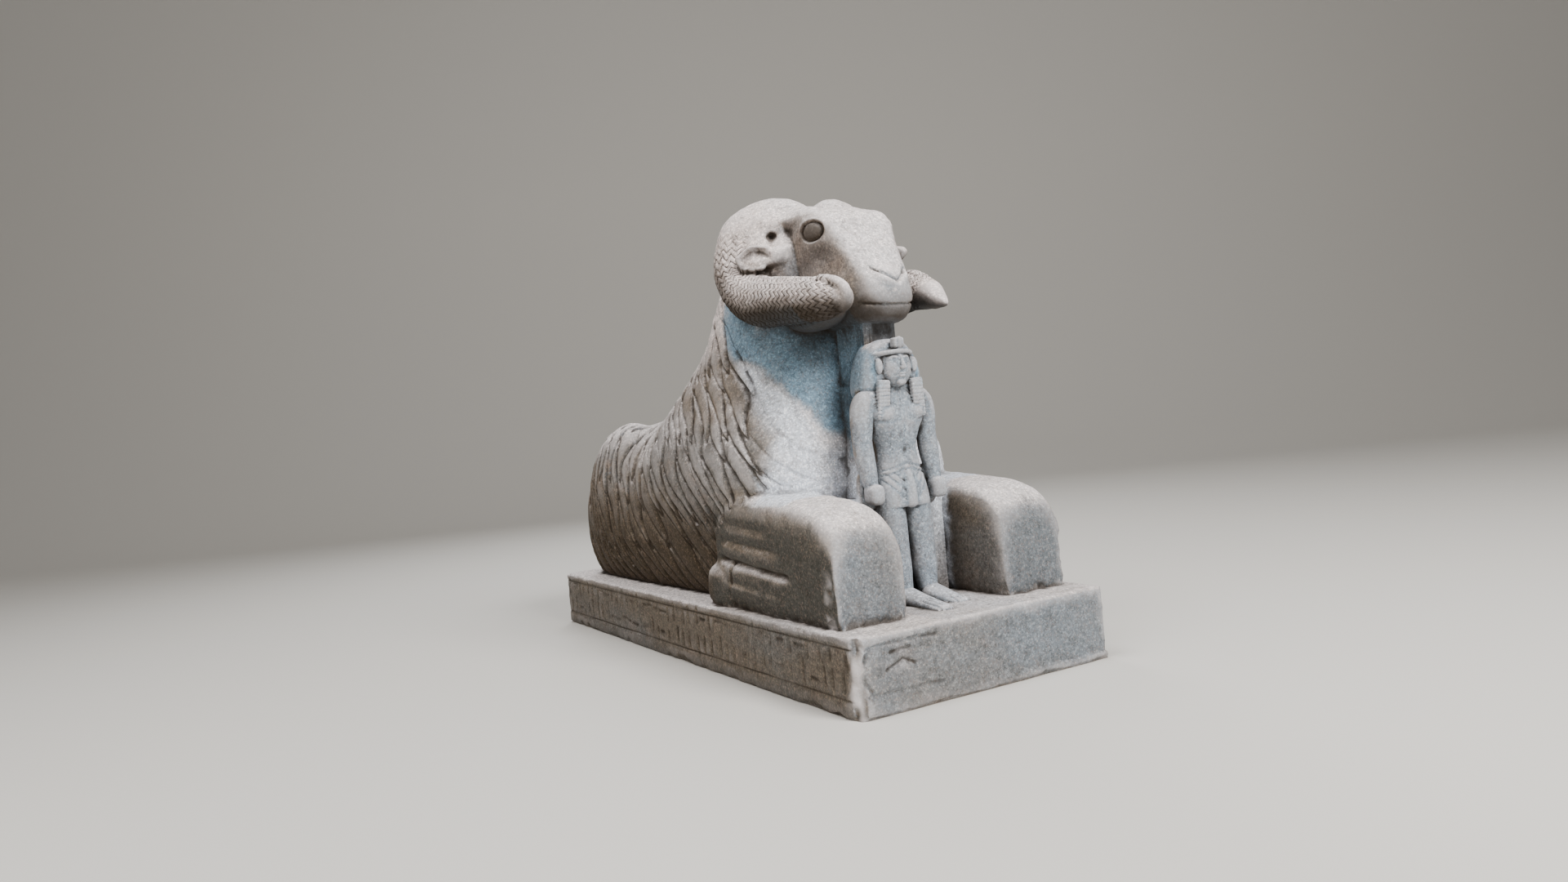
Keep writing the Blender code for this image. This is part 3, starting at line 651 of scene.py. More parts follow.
def lock_relief(across, along, sizes):
    """(height, cut, owner) of overlapping pointed locks: each tip lies over the locks of the next rows."""
    pitch, width = sizes.lock_length / LOCK_ROWS, sizes.lock_width
    top_row = np.floor(along / pitch)
    height, cut, owner = np.zeros(len(across)), np.zeros(len(across)), np.zeros(len(across))
    for back in range(LOCK_ROWS + 1):
        row = top_row - back
        column = across / width + 0.5 * np.mod(row, 2)
        number = np.floor(column)
        jitter = LOCK_JITTER * np.sin(number * JITTER_BY_COLUMN + row * JITTER_BY_ROW)
        share = (along / pitch - row + jitter) / LOCK_ROWS
        offset = np.abs(2 * (column - number) - 1)
        half = 1 - np.clip((share - LOCK_SHOULDER) / (1 - LOCK_SHOULDER), 0, 1) ** LOCK_TAPER
        present = (share > 0) & (share < 1)
        inside = present & (offset < half)
        gap = (offset - half) * width / 2
        rim = np.where(present, groove(gap, 0.0034), 0.0)
        ridge = np.clip(1 - (offset / np.maximum(half, 1e-3)) ** 2.6, 0, 1) ** 0.8
        height = np.where(inside, sizes.lock_depth * (ridge - 1) + 0.005 * (share - 0.6), height)
        cut = np.where(inside, rim, np.maximum(cut, rim))
        owner = np.where(inside, number * 1000 + row, owner)
    return height, cut, owner


def fleece_strength(places, start, owner):
    """1 on whole locks of the fleece, less on the faint ones in front of them, 0 on the smooth stone."""
    area, above = fleece_area(places, start)
    inverse = np.unique(owner, return_inverse=True)[1]
    share = np.bincount(inverse, weights=area * above) / np.maximum(np.bincount(inverse, weights=above), 1)
    share = np.where(share > 0.62, 1.0, np.where(share > 0.2, 0.25, 0.0))[inverse]
    return share * smoothstep(0.0, 0.012, places[:, 2]) * above


def carve_fleece(obj, sizes):
    places, normals = vertex_arrays(obj)
    start, across, along = fleece_flow(places)
    height, cut, owner = lock_relief(across, along, sizes)
    strength = fleece_strength(places, start, owner)
    push(obj, places, normals, (height - sizes.groove_depth * cut) * strength - 0.003 * (1 - strength))


LEG_LINES = (
    # height above the plinth, depth, half breadth, Y of the rear end, Y of the front end
    (0.178, 0.0050, 0.0100, -0.245, -0.47),
    (0.140, 0.0070, 0.0100, -0.225, -0.51),
    (0.094, 0.0160, 0.0085, -0.205, -0.545),
    (0.050, 0.0030, 0.0060, -0.26, -0.52),
)


def carve_legs(obj):
    """Tendon lines, the deep fold over the shank, and the notch in front of the hoof."""
    places, normals = vertex_arrays(obj)
    x, y, z = folded(places)
    zone = smoothstep(0.245, 0.275, x)
    heights = np.zeros(len(x))
    for line, depth, breadth, rear, fore in LEG_LINES:
        height = line + 0.06 * (y + 0.42)
        reach = smoothstep(rear, rear - 0.04, y) * smoothstep(fore - 0.03, fore + 0.03, y)
        heights -= depth * groove(z - height, breadth) * reach
    heights -= 0.008 * groove(y + 0.290 + 0.10 * (z - 0.08), 0.005) * smoothstep(0.01, 0.07, z) * (z < 0.10)
    heights *= zone
    rough = 0.5 + 0.32 * mottle(places, 0.030, 61) + 0.18 * mottle(places, 0.010, 62)
    near_edge = groove(np.hypot(places[:, 0] + 0.288, y + 0.706), 0.014) * (z < 0.20)
    heights -= 0.007 * near_edge * rough
    far_side = smoothstep(0.274, 0.288, places[:, 0]) * smoothstep(-0.60, -0.66, y)
    heights -= 0.010 * far_side * smoothstep(0.30, 0.85, rough)
    push(obj, places, normals, heights)


def carve_king(obj):
    """The belt, the folds of the wrapped kilt, the navel and the line under the chest."""
    places, normals = vertex_arrays(obj)
    x, y, z = folded(places)
    ahead = (y < -0.570) * smoothstep(0.066, 0.060, x)
    heights = -0.0022 * groove(z - 0.279 + 0.25 * x, 0.0024) * ahead
    heights -= 0.0022 * groove(z - 0.289 + 0.25 * x, 0.0024) * ahead
    for step in (0, 1, 2):
        fold = 0.212 + 0.020 * step + 0.9 * (x - 0.012) + 4.0 * (x - 0.012) ** 2
        heights -= 0.0018 * groove(z - fold, 0.0026) * ahead * (x > 0.014) * (z < 0.272) * (z > 0.200)
    heights -= 0.0030 * groove(np.hypot(x, z - 0.318), 0.0045) * ahead
    heights -= 0.0016 * groove(z - 0.376 - 0.30 * np.abs(x - 0.035), 0.0035) * ahead * (x > 0.006)
    heights -= 0.0016 * groove(x, 0.0030) * ahead * smoothstep(0.300, 0.330, z) * (z < 0.425)
    toes = (z < 0.02) & (y < -0.668)
    heights -= 0.0020 * groove(np.mod(x - 0.018, 0.009) - 0.0045, 0.0016) * toes
    push(obj, places, normals, heights)


def wear_stone(obj, seed, share=1.0):
    """Hand-dressed unevenness all over."""
    places, normals = vertex_arrays(obj)
    heights = 0.0016 * mottle(places, 0.055, seed) + 0.0009 * mottle(places, 0.019, seed + 1)
    heights += 0.0004 * mottle(places, 0.008, seed + 2)
    push(obj, places, normals, heights * share)


def near_path(places, path):
    """For each place: its distance from the path, its share along it, and its angle round it."""
    samples = smooth_path(path, 20)
    lengths = np.concatenate([[0], np.cumsum(np.linalg.norm(np.diff(samples[:, :3], axis=0), axis=1))])
    nearest = np.empty(len(places), int)
    for start in range(0, len(places), 4096):
        part = places[start : start + 4096]
        gaps = ((part[:, None] - samples[None, :, :3]) ** 2).sum(2)
        nearest[start : start + 4096] = gaps.argmin(1)
    offset = places - samples[nearest, :3]
    tangents = np.gradient(samples[:, :3], axis=0)[nearest]
    tangents /= np.linalg.norm(tangents, axis=1)[:, None]
    along = lengths[nearest] + (offset * tangents).sum(1)
    offset = offset - tangents * (offset * tangents).sum(1)[:, None]
    sideways = np.cross(tangents, [1.0, 0.0, 0.0])
    sideways /= np.maximum(np.linalg.norm(sideways, axis=1), 1e-6)[:, None]
    angle = np.arctan2((offset * np.cross(tangents, sideways)).sum(1), (offset * sideways).sum(1))
    return np.linalg.norm(offset, axis=1) / samples[nearest, 3], along, angle


def horn_places(places):
    """For each place: how far along its horn and how far round it, and 1 where the horn is scaled."""
    along_all, around_all, scaled = np.zeros(len(places)), np.zeros(len(places)), np.zeros(len(places))
    for side in (-1, 1):
        own = np.where((places[:, 0] * side > 0) & (places[:, 2] > 0.56) & (places[:, 1] > -0.68))[0]
        reach, along, angle = near_path(places[own], horn_path(side))
        end = SCALED_LENGTH_LEFT if side > 0 else SCALED_LENGTH_RIGHT
        on_horn = smoothstep(1.28, 1.12, reach) * smoothstep(0.78, 0.90, reach)
        on_horn *= smoothstep(0.15, 0.24, along) * smoothstep(end, end - 0.03, along)
        along_all[own], around_all[own], scaled[own] = along, angle * HORN_GIRTH_RADIUS, on_horn
    return along_all, around_all, scaled


def scale_share(along, around, pitch):
    """How far a place lies across its own zigzag row of scales, from 0 to 1."""
    zigzag = np.abs(np.mod(around / (ZIGZAG_BREADTH * pitch), 2) - 1)
    return np.mod(along / pitch + ZIGZAG_HEIGHT * zigzag, 1)


def carve_eyes(heights, y, z, beside):
    """The ball of each eye in its socket, the line round it and the raised rim."""
    eye = oval_reach(y, z, EYE_MIDDLE, EYE_HALF_SIZE)
    above = smoothstep(-0.6, 0.5, (z - EYE_MIDDLE[1]) / EYE_HALF_SIZE[1])
    heights -= 0.0050 * smoothstep(1.40, 1.05, eye) * beside
    heights += 0.0075 * np.sqrt(np.clip(1 - (eye / 1.02) ** 2, 0, 1)) * beside
    heights -= 0.0022 * groove(eye - 1.06, 0.07) * beside
    heights += 0.0042 * (0.30 + 0.70 * above) * groove(eye - 1.26, 0.12) * beside
    cheek = oval_reach(y, z, (-0.475, 0.720), (0.075, 0.050))
    heights -= 0.005 * smoothstep(1.1, 0.3, cheek) * beside


def carve_muzzle(heights, places):
    """The mouth line and the nostrils, which are a little off the middle plane."""
    x, y, z = folded(places)
    at_tip = smoothstep(-0.560, -0.572, y)
    at_mouth = at_tip * smoothstep(0.085, 0.075, x)
    heights -= 0.0045 * groove(z - 0.630 - 0.012 * (y + 0.57) / 0.05, 0.0032) * at_mouth
    from_middle = np.abs(places[:, 0] - 0.010)
    at_nostril = at_tip * smoothstep(0.052, 0.040, from_middle)
    heights -= 0.0050 * groove(z - 0.668 - 0.72 * from_middle, 0.0036) * at_nostril
    heights += 0.0022 * groove(z - 0.655 - 0.72 * from_middle, 0.0090) * at_nostril


def carve_ears(heights, normals, x, y, z):
    """The hollow of each ear, which faces forward and outward."""
    outward, forward = x - EAR_MIDDLE[0], EAR_MIDDLE[1] - y
    facing = np.abs(normals[:, 0]) * 0.545 - normals[:, 1] * 0.84
    bowl = np.hypot((0.545 * forward - 0.84 * outward) / 0.044, (z - EAR_MIDDLE[2]) / 0.0275)
    ahead = smoothstep(-0.012, 0.0, 0.84 * forward + 0.545 * outward)
    upper = 0.85 + 0.15 * np.clip((z - EAR_MIDDLE[2]) / 0.020, -1, 1)
    heights -= 0.012 * upper * smoothstep(1.0, 0.76, bowl) * smoothstep(0.1, 0.4, facing) * ahead


def sink_pit(places):
    """The round pit inside each horn's curl, pressed in and back."""
    x, y, z = folded(places)
    reach = np.hypot(0.86 * (x - PIT_MIDDLE[0]) + 0.50 * (y - PIT_MIDDLE[1]), 1.1 * (z - PIT_MIDDLE[2]))
    depth = 0.022 * groove(reach, 0.0095) * smoothstep(-0.30, -0.32, y)
    depth *= smoothstep(0.09, 0.10, x) * (z > 0.78)
    places[:, 0] -= 0.50 * depth * np.sign(places[:, 0])
    places[:, 1] += 0.86 * depth


def carve_head(obj, sizes):
    """Eyes, nostrils, the mouth line, the hollow of each ear and the horns' scales, lip and pits."""
    places, normals = vertex_arrays(obj)
    x, y, z = folded(places)
    beside = smoothstep(0.068, 0.080, x) * (np.abs(normals[:, 0]) > 0.3)
    heights = np.zeros(len(x))
    carve_eyes(heights, y, z, beside)
    carve_muzzle(heights, places)
    gaps = np.sqrt(((places[:, None] - smooth_path(LIP_GROOVE, 6)[None]) ** 2).sum(2)).min(1)
    heights -= 0.0060 * groove(gaps, 0.0040)
    carve_ears(heights, normals, x, y, z)
    along, around, on_horn = horn_places(places)
    scale = scale_share(along, around, sizes.scale_pitch)
    heights += sizes.scale_depth * (scale - 0.6 - 1.2 * groove(scale - 0.04, 0.10)) * on_horn
    sink_pit(places)
    push(obj, places, normals, heights)


def thinned(obj, triangles):
    """Collapses the mesh to about this many triangles, which gather where it is most carved."""
    obj.data.calc_loop_triangles()
    thin = obj.modifiers.new("thin", "DECIMATE")
    thin.ratio = min(1.0, triangles / len(obj.data.loop_triangles))
    thin.use_collapse_triangulate = True
    obj.data = baked(obj)
    obj.modifiers.clear()


def carved_to_size(obj, sizes):
    """Brings a mass from the model's own proportions to the statue's height, on top of the plinth."""
    scale = (sizes.statue_height - sizes.plinth_height) / MODEL_RAM_HEIGHT
    obj.data.transform(Matrix.Translation((0, 0, sizes.plinth_height)) @ Matrix.Scale(scale, 4))


def carved_beast(sizes):
    block = Block()
    ram_body(block)
    for side in (-1, 1):
        foreleg(block, side)
    beast = block.fused("trunk", BEAST_GRAIN, BEAST_SOFTENING)
    carve_fleece(beast, sizes)
    carve_legs(beast)
    wear_stone(beast, 3)
    thinned(beast, BEAST_TRIANGLES)
    return beast


def carved_head(sizes):
    block = Block()
    ram_head(block)
    for side in (-1, 1):
        horn_and_ear(block, side)
    head = block.fused("head", HEAD_GRAIN, HEAD_SOFTENING)
    carve_head(head, sizes)
    wear_stone(head, 5)
    thinned(head, HEAD_TRIANGLES)
    return head


def carved_king():
    block = Block()
    standing_king(block)
    king = block.fused("king", KING_GRAIN, KING_SOFTENING)
    carve_king(king)
    thinned(king, KING_TRIANGLES)
    wear_stone(king, 7, 0.5)
    return king


def carved_king_head():
    block = Block()
    king_head(block)
    head = block.fused("king head", KING_HEAD_GRAIN, KING_HEAD_SOFTENING)
    places, normals = vertex_arrays(head)
    x, y, z = folded(places)
    heights = -0.0022 * groove(oval_reach(x, z, (0.044, 0.495), (0.0052, 0.0110)) * 0.6, 0.6) * (y < -0.588)
    pleats = np.abs(np.mod((z - 0.380) / 0.0075, 1) - 0.5) * 2
    heights -= 0.0012 * smoothstep(0.55, 0.95, pleats) * (z < 0.466) * (y < -0.586) * (x > 0.026)
    push(head, places, normals, heights)
    thinned(head, KING_HEAD_TRIANGLES)
    return head


class Nodes:
    """Short helpers over one node tree."""

    def __init__(self, tree):
        self.tree = tree

    def put(self, value, socket):
        if isinstance(value, bpy.types.NodeSocket):
            self.tree.links.new(value, socket)
        else:
            socket.default_value = value

    def add(self, kind, inputs=None, **settings):
        """A node with these settings, and with its inputs filled by sockets or plain values."""
        node = self.tree.nodes.new(kind)
        for name, value in settings.items():
            setattr(node, name, value)
        for name, value in (inputs or {}).items():
            self.put(value, node.inputs[name])
        return node

    def attribute(self, name, share=1.0):
        """One of the stone's own attributes, times this share."""
        value = self.add("ShaderNodeAttribute", attribute_name=name).outputs["Fac"]
        return value if share == 1.0 else self.times(value, share)

    def noise(self, where, scale, detail=4.0, rough=0.55, stretch=None):
        if stretch:
            where = self.add("ShaderNodeMapping", {"Vector": where, "Scale": stretch}).outputs["Vector"]
        inputs = {"Vector": where, "Scale": scale, "Detail": detail, "Roughness": rough}
        return self.add("ShaderNodeTexNoise", inputs).outputs["Fac"]

    def span(self, value, low, high, to_low=0.0, to_high=1.0, kind="SMOOTHSTEP"):
        inputs = {"Value": value, "From Min": low, "From Max": high, "To Min": to_low, "To Max": to_high}
        return self.add("ShaderNodeMapRange", inputs, interpolation_type=kind).outputs["Result"]

    def math(self, kind, one, other=0.0):
        return self.add("ShaderNodeMath", {0: one, 1: other}, operation=kind).outputs[0]

    def plus(self, one, other):
        return self.math("ADD", one, other)

    def minus(self, one, other):
        return self.math("SUBTRACT", one, other)

    def times(self, one, other):
        return self.math("MULTIPLY", one, other)

    def larger(self, one, other):
        return self.math("MAXIMUM", one, other)

    def mix(self, share, one, other, kind="MIX"):
        node = self.add("ShaderNodeMix", {0: share, 6: one, 7: other}, data_type="RGBA", blend_type=kind)
        return node.outputs[2]


STROKE_INPUTS = (("Length", "Float"), ("Height", "Float"), ("Columns", "Int"), ("Rows", "Int"),
                 ("Shortest", "Float"), ("Longest", "Float"), ("Seed", "Int"), ("Material", "Material"))
# How far a stroke may lie from its place in the rows, either way, and how long strokes are
STROKE_SHIFT = (0.010, 0.009, 0)
STROKE_SHORTEST, STROKE_LONGEST = 0.018, 0.046


def stroke_rows_tree():
    """Nodes that scatter rows of short strokes, as loose edges, over a flat panel round the origin."""
    tree = bpy.data.node_groups.new("stroke rows", "GeometryNodeTree")
    tree.interface.new_socket(name="Geometry", in_out="INPUT", socket_type="NodeSocketGeometry")
    for name, kind in STROKE_INPUTS:
        tree.interface.new_socket(name=name, in_out="INPUT", socket_type="NodeSocket" + kind)
    tree.interface.new_socket(name="Geometry", in_out="OUTPUT", socket_type="NodeSocketGeometry")
    nodes = Nodes(tree)
    given = nodes.add("NodeGroupInput").outputs
    seed = given["Seed"]

    grid = nodes.add("GeometryNodeMeshGrid", {"Size X": given["Length"], "Size Y": given["Height"],
                                              "Vertices X": given["Columns"], "Vertices Y": given["Rows"]})
    back = [-v for v in STROKE_SHIFT]
    shift = nodes.add("FunctionNodeRandomValue", {0: back, 1: STROKE_SHIFT, "Seed": seed},
                      data_type="FLOAT_VECTOR")
    moved = nodes.add("GeometryNodeSetPosition", {"Geometry": grid.outputs["Mesh"],
                                                  "Offset": shift.outputs[0]})
    line = nodes.add("GeometryNodeMeshLine", {"Count": 2, "Start Location": (-0.5, 0, 0),
                                              "Offset": (1, 0, 0)})

    # One stroke in four lies flat, and the others stand upright
    quarter = nodes.add("FunctionNodeRandomValue", {4: 0, 5: 3, "Seed": seed}, data_type="INT")
    upright = nodes.times(nodes.math("MINIMUM", quarter.outputs[2], 1.0), math.pi / 2)
    angle = nodes.add("ShaderNodeCombineXYZ", {"Z": upright})
    size = nodes.add("FunctionNodeRandomValue", {2: given["Shortest"], 3: given["Longest"], "Seed": seed},
                     data_type="FLOAT")

    strokes = nodes.add("GeometryNodeInstanceOnPoints", {
        "Points": moved.outputs["Geometry"], "Instance": line.outputs["Mesh"],
        "Rotation": angle.outputs["Vector"], "Scale": size.outputs[1]})
    real = nodes.add("GeometryNodeRealizeInstances", {"Geometry": strokes.outputs["Instances"]})
    named = nodes.add("GeometryNodeSetMaterial", {"Geometry": real.outputs["Geometry"],
                                                  "Material": given["Material"]})
    nodes.add("NodeGroupOutput", {"Geometry": named.outputs["Geometry"]})
    return tree


def stroke_panel(tree, material, length, height, columns, rows, seed):
    """Stroke ends, as rows of (along, up, along, up) measured from the middle of a panel."""
    panel = new_object("stroke_panel", bpy.data.meshes.new("stroke_panel"))
    rule = panel.modifiers.new("stroke rows", "NODES")
    rule.node_group = tree
    values = {"Length": length, "Height": height, "Columns": columns, "Rows": rows, "Seed": seed,
              "Shortest": STROKE_SHORTEST, "Longest": STROKE_LONGEST, "Material": material}
    for socket in tree.interface.items_tree:
        if socket.in_out == "INPUT" and socket.name in values:
            rule[socket.identifier] = values[socket.name]
    mesh = baked(panel)
    places = np.empty(len(mesh.vertices) * 3)
    mesh.vertices.foreach_get("co", places)
    ends = places.reshape(-1, 3)[edge_pairs(mesh)][:, :, :2].reshape(-1, 4)
    bpy.data.objects.remove(panel)
    return ends


def stroke_field(along, up, strokes):
    """Distance from each place of a panel to the nearest stroke."""
    nearest = np.full(len(along), 1.0)
    for u0, v0, u1, v1 in strokes:
        du, dv = u1 - u0, v1 - v0
        share = np.clip(((along - u0) * du + (up - v0) * dv) / max(du * du + dv * dv, 1e-9), 0, 1)
        nearest = np.minimum(nearest, np.hypot(along - u0 - share * du, up - v0 - share * dv))
    return nearest


# Heights of the plinth's two border lines, as shares of its own height
BORDERS = (0.865, 0.235)

# The marks left at the near end of the plinth's front, as (x, z, x, z) shares of its half width and height
FRONT_STROKES = (
    (-0.96, 0.87, -0.42, 0.87), (-0.96, 0.28, -0.38, 0.27), (-0.75, 0.765, -0.60, 0.79),
    (-0.92, 0.80, -0.955, 0.62), (-0.955, 0.62, -0.94, 0.45), (-0.94, 0.45, -0.89, 0.32),
    (-0.78, 0.56, -0.66, 0.66), (-0.66, 0.66, -0.58, 0.58),
)


def carve_plinth_marks(obj, sizes, material):
    """Border lines and worn rows of strokes round the plinth; the front keeps them only at its near end."""
    places, normals = vertex_arrays(obj)
    half_x, half_y, height = sizes.plinth_width / 2, sizes.plinth_length / 2, sizes.plinth_height
    tree = stroke_rows_tree()
    up = places[:, 2] - 0.59 * height
    worn = 0.60 + 0.40 * smoothstep(-0.5, 0.4, mottle(places, 0.10, 21))
    depths = np.zeros(len(places))
    lines = [groove(places[:, 2] - share * height, 0.0034) for share in BORDERS]
    lines = np.maximum(*lines) * 0.8
    for side, seed in ((-1, 4), (1, 9)):
        facing = normals[:, 0] * side > 0.7
        strokes = stroke_panel(tree, material, 1.90 * half_y, 0.36 * height, 40, 2, seed)
        field = stroke_field(places[facing, 1], up[facing], strokes)
        depths[facing] = np.maximum(groove(field, 0.0042), lines[facing])
    back = normals[:, 1] > 0.7
    depths[back] = lines[back]
    front = normals[:, 1] < -0.7
    strokes = np.array(FRONT_STROKES) * (half_x, height, half_x, height)
    depths[front] = groove(stroke_field(places[front, 0], places[front, 2], strokes), 0.0034)
    push(obj, places, normals, -sizes.stroke_depth * depths * worn)


def plinth_faces(places, sizes):
    """Half width and half length of the plinth at each place. Along the left a low ledge is left standing."""
    ledge = 0.0045 * smoothstep(0.012, 0.020, places[:, 2] + 0.004 * mottle(places, 0.05, 41))
    ledge *= smoothstep(-0.05, 0.10, places[:, 0])
    return np.array((sizes.plinth_width / 2, sizes.plinth_length / 2)) - (0.0016 + ledge)[:, None]


def chipped(places, sizes):
    """The plinth's places with its edges worn, chipped and broken."""
    half = plinth_faces(places, sizes)
    sign = np.sign(places[:, :2])
    rough = 0.5 + 0.5 * mottle(places, 0.030, 31)
    broad = 0.5 + 0.5 * mottle(places, 0.110, 32)
    fine = 0.5 + 0.5 * mottle(places, 0.012, 33)
    inward = half - np.abs(places[:, :2])
    near = np.exp(-(((places[:, 0] + half[:, 0]) / 0.05) ** 2 + ((places[:, 1] + half[:, 1]) / 0.05) ** 2))
    size = 0.004 + 0.012 * rough * broad + 0.011 * near * (0.5 + rough) + 0.003 * fine
    cut = np.clip(size - inward[:, 0] - inward[:, 1], 0, None) / 2
    places[:, :2] -= sign * cut[:, None]
    for axis in (0, 1):
        inward = half[:, axis] - np.abs(places[:, axis])
        top = 0.003 + 0.010 * rough**2 * broad + 0.003 * fine - inward - (sizes.plinth_height - places[:, 2])
        top = np.clip(top, 0, None) / 2
        low = 0.003 + 0.020 * (rough * broad) ** 1.5 + 0.003 * fine - inward - places[:, 2]
        low = np.clip(low, 0, None) / 2
        places[:, axis] -= sign[:, axis] * (top + low)
        places[:, 2] += low - top
    return places


def carved_plinth(sizes, material):
    block = Block()
    size = (sizes.plinth_width, sizes.plinth_length, sizes.plinth_height)
    block.slab((0, 0, sizes.plinth_height / 2), size)
    plinth = block.fused("plinth", PLINTH_GRAIN, PLINTH_SOFTENING)
    places, normals = vertex_arrays(plinth)
    faces = plinth_faces(places, sizes)
    places[:, :2] = np.clip(places[:, :2], -faces, faces)
    heights = 0.0010 * mottle(places, 0.055, 11) + 0.0007 * mottle(places, 0.018, 12)
    push(plinth, places, normals, np.where(places[:, 2] < 0.003, 0, heights))
    carve_plinth_marks(plinth, sizes, material)
    places, normals = vertex_arrays(plinth)
    places = chipped(places, sizes)
    half = np.array((sizes.plinth_width / 2, sizes.plinth_length / 2))
    places[:, :2] = np.clip(places[:, :2], -half, half)
    under = (normals[:, 2] < -0.9) & (places[:, 2] < 0.006)
    places[:, 2] = np.where(under, 0.0, np.maximum(places[:, 2], 0.0))
    push(plinth, places, normals, np.zeros(len(places)))
    thinned(plinth, PLINTH_TRIANGLES)
    return plinth


def without_pockets(obj):
    """Leaves only the outer skin: pockets sealed in between the joined masses become solid stone."""
    bm = bmesh.new()
    bm.from_mesh(obj.data)
    unseen = set(bm.verts)
    skins = []
    while unseen:
        front = [unseen.pop()]
        skin = list(front)
        while front:
            vert = front.pop()
            for edge in vert.link_edges:
                other = edge.other_vert(vert)
                if other in unseen:
                    unseen.discard(other)
                    front.append(other)
                    skin.append(other)
        skins.append(skin)
    skins.sort(key=len)
    for pocket in skins[:-1]:
        bmesh.ops.delete(bm, geom=pocket, context="VERTS")
    bm.to_mesh(obj.data)
    bm.free()


def edge_pairs(mesh):
    pairs = np.empty(len(mesh.edges) * 2, np.int32)
    mesh.edges.foreach_get("vertices", pairs)
    return pairs.reshape(-1, 2)


def hollows(places, normals, pairs, links):
    """Above 0 in grooves and hollows, below 0 on edges and ridges."""
    hollow = np.zeros(len(places))
    lengths = np.linalg.norm(places[pairs[:, 0]] - places[pairs[:, 1]], axis=1)
    for one, other in ((0, 1), (1, 0)):
        step = places[pairs[:, other]] - places[pairs[:, one]]
        bend = (step * normals[pairs[:, one]]).sum(1) / np.maximum(lengths, 1e-5) ** 2
        hollow += np.bincount(pairs[:, one], weights=bend * np.minimum(lengths, 0.01), minlength=len(places))
    return hollow / np.maximum(links, 1)


def shelter(obj, places, normals, reach):
    """How much of the space in front of each place is closed off by stone within this reach, from 0 to 1."""
    tree = BVHTree.FromObject(obj, bpy.context.evaluated_depsgraph_get())
    directions = np.array(even_directions(SHELTER_DIRECTIONS))
    vectors = [Vector(d) for d in directions]
    facing = normals @ directions.T
    result = np.zeros(len(places))
    starts = places + normals * 0.0015
    for i in range(len(places)):
        start = Vector(starts[i])
        closed = total = 0.0
        for k in np.nonzero(facing[i] > 0.15)[0]:
            total += facing[i, k]
            if tree.ray_cast(start, vectors[k], reach)[0] is not None:
                closed += facing[i, k]
        result[i] = closed / max(total, 1e-6)
    return result


# The lower edge of the painted bluish shadow round the ram's throat: y and the height above the plinth
BLUE_SHADOW_EDGE = ((-0.60, 0.30), (-0.482, 0.313), (-0.461, 0.351), (-0.436, 0.414), (-0.376, 0.482),
             (-0.314, 0.530), (-0.241, 0.549), (-0.185, 0.590), (-0.150, 0.650), (-0.130, 0.72),
             (-0.05, 0.90))

# The lower edge of the shade under the jaw: height above the plinth and distance from the middle plane
SHADE_EDGE = ((0.40, 0.125), (0.443, 0.125), (0.509, 0.125), (0.579, 0.135), (0.606, 0.170))


class Skin:
    """The vertices of the joined stone, with their places in the ram's own proportions."""

    def __init__(self, obj, sizes):
        self.obj = obj
        self.places, self.normals = vertex_arrays(obj)
        self.pairs = edge_pairs(obj.data)
        self.links = np.bincount(self.pairs.ravel(), minlength=len(self.places)).astype(float)
        scale = (sizes.statue_height - sizes.plinth_height) / MODEL_RAM_HEIGHT
        self.model = (self.places - (0, 0, sizes.plinth_height)) / scale
        self.on_plinth = smoothstep(0.006, -0.004, self.model[:, 2])
        self.waver = 0.012 * mottle(self.model, 0.06, 51) + 0.006 * mottle(self.model, 0.02, 52)

    def mark(self, name, values):
        attribute = self.obj.data.attributes.new(name, "FLOAT", "POINT")
        attribute.data.foreach_set("value", np.asarray(values, np.float32))

    def spread(self, values, rounds, share=0.6):
        """Values blended with those of their neighbours, this many times."""
        for _ in range(rounds):
            total = np.zeros(len(values))
            for one, other in ((0, 1), (1, 0)):
                weights = values[self.pairs[:, other]]
                total += np.bincount(self.pairs[:, one], weights=weights, minlength=len(values))
            values = (1 - share) * values + share * total / np.maximum(self.links, 1)
        return values


def mark_depth(skin):
    """Where the stone is hollow or rubbed, and how closed in it is."""
    hollow = hollows(skin.places, skin.normals, skin.pairs, skin.links)
    skin.mark("hollow", np.clip(skin.spread(hollow, 4) * 6, -1, 1))
    skin.mark("shelter", skin.spread(shelter(skin.obj, skin.places, skin.normals, 0.30), 5))


def mark_carving(skin, sizes):
    """Where each lock of the fleece and each scale of the horns lies."""
    z = skin.model[:, 2]
    start, across, along = fleece_flow(skin.model)
    owner = lock_relief(across, along, sizes)[2]
    fleece = fleece_strength(skin.model, start, owner) * (z < 0.66) * (skin.on_plinth < 0.5)
    skin.mark("fleece", skin.spread(fleece, 1, 0.4))
    skin.mark("lock_across", across)
    skin.mark("lock_along", along)
    for name, values in zip(("horn_along", "horn_round", "scaled"), horn_places(skin.model)):
        skin.mark(name, values)
    return start


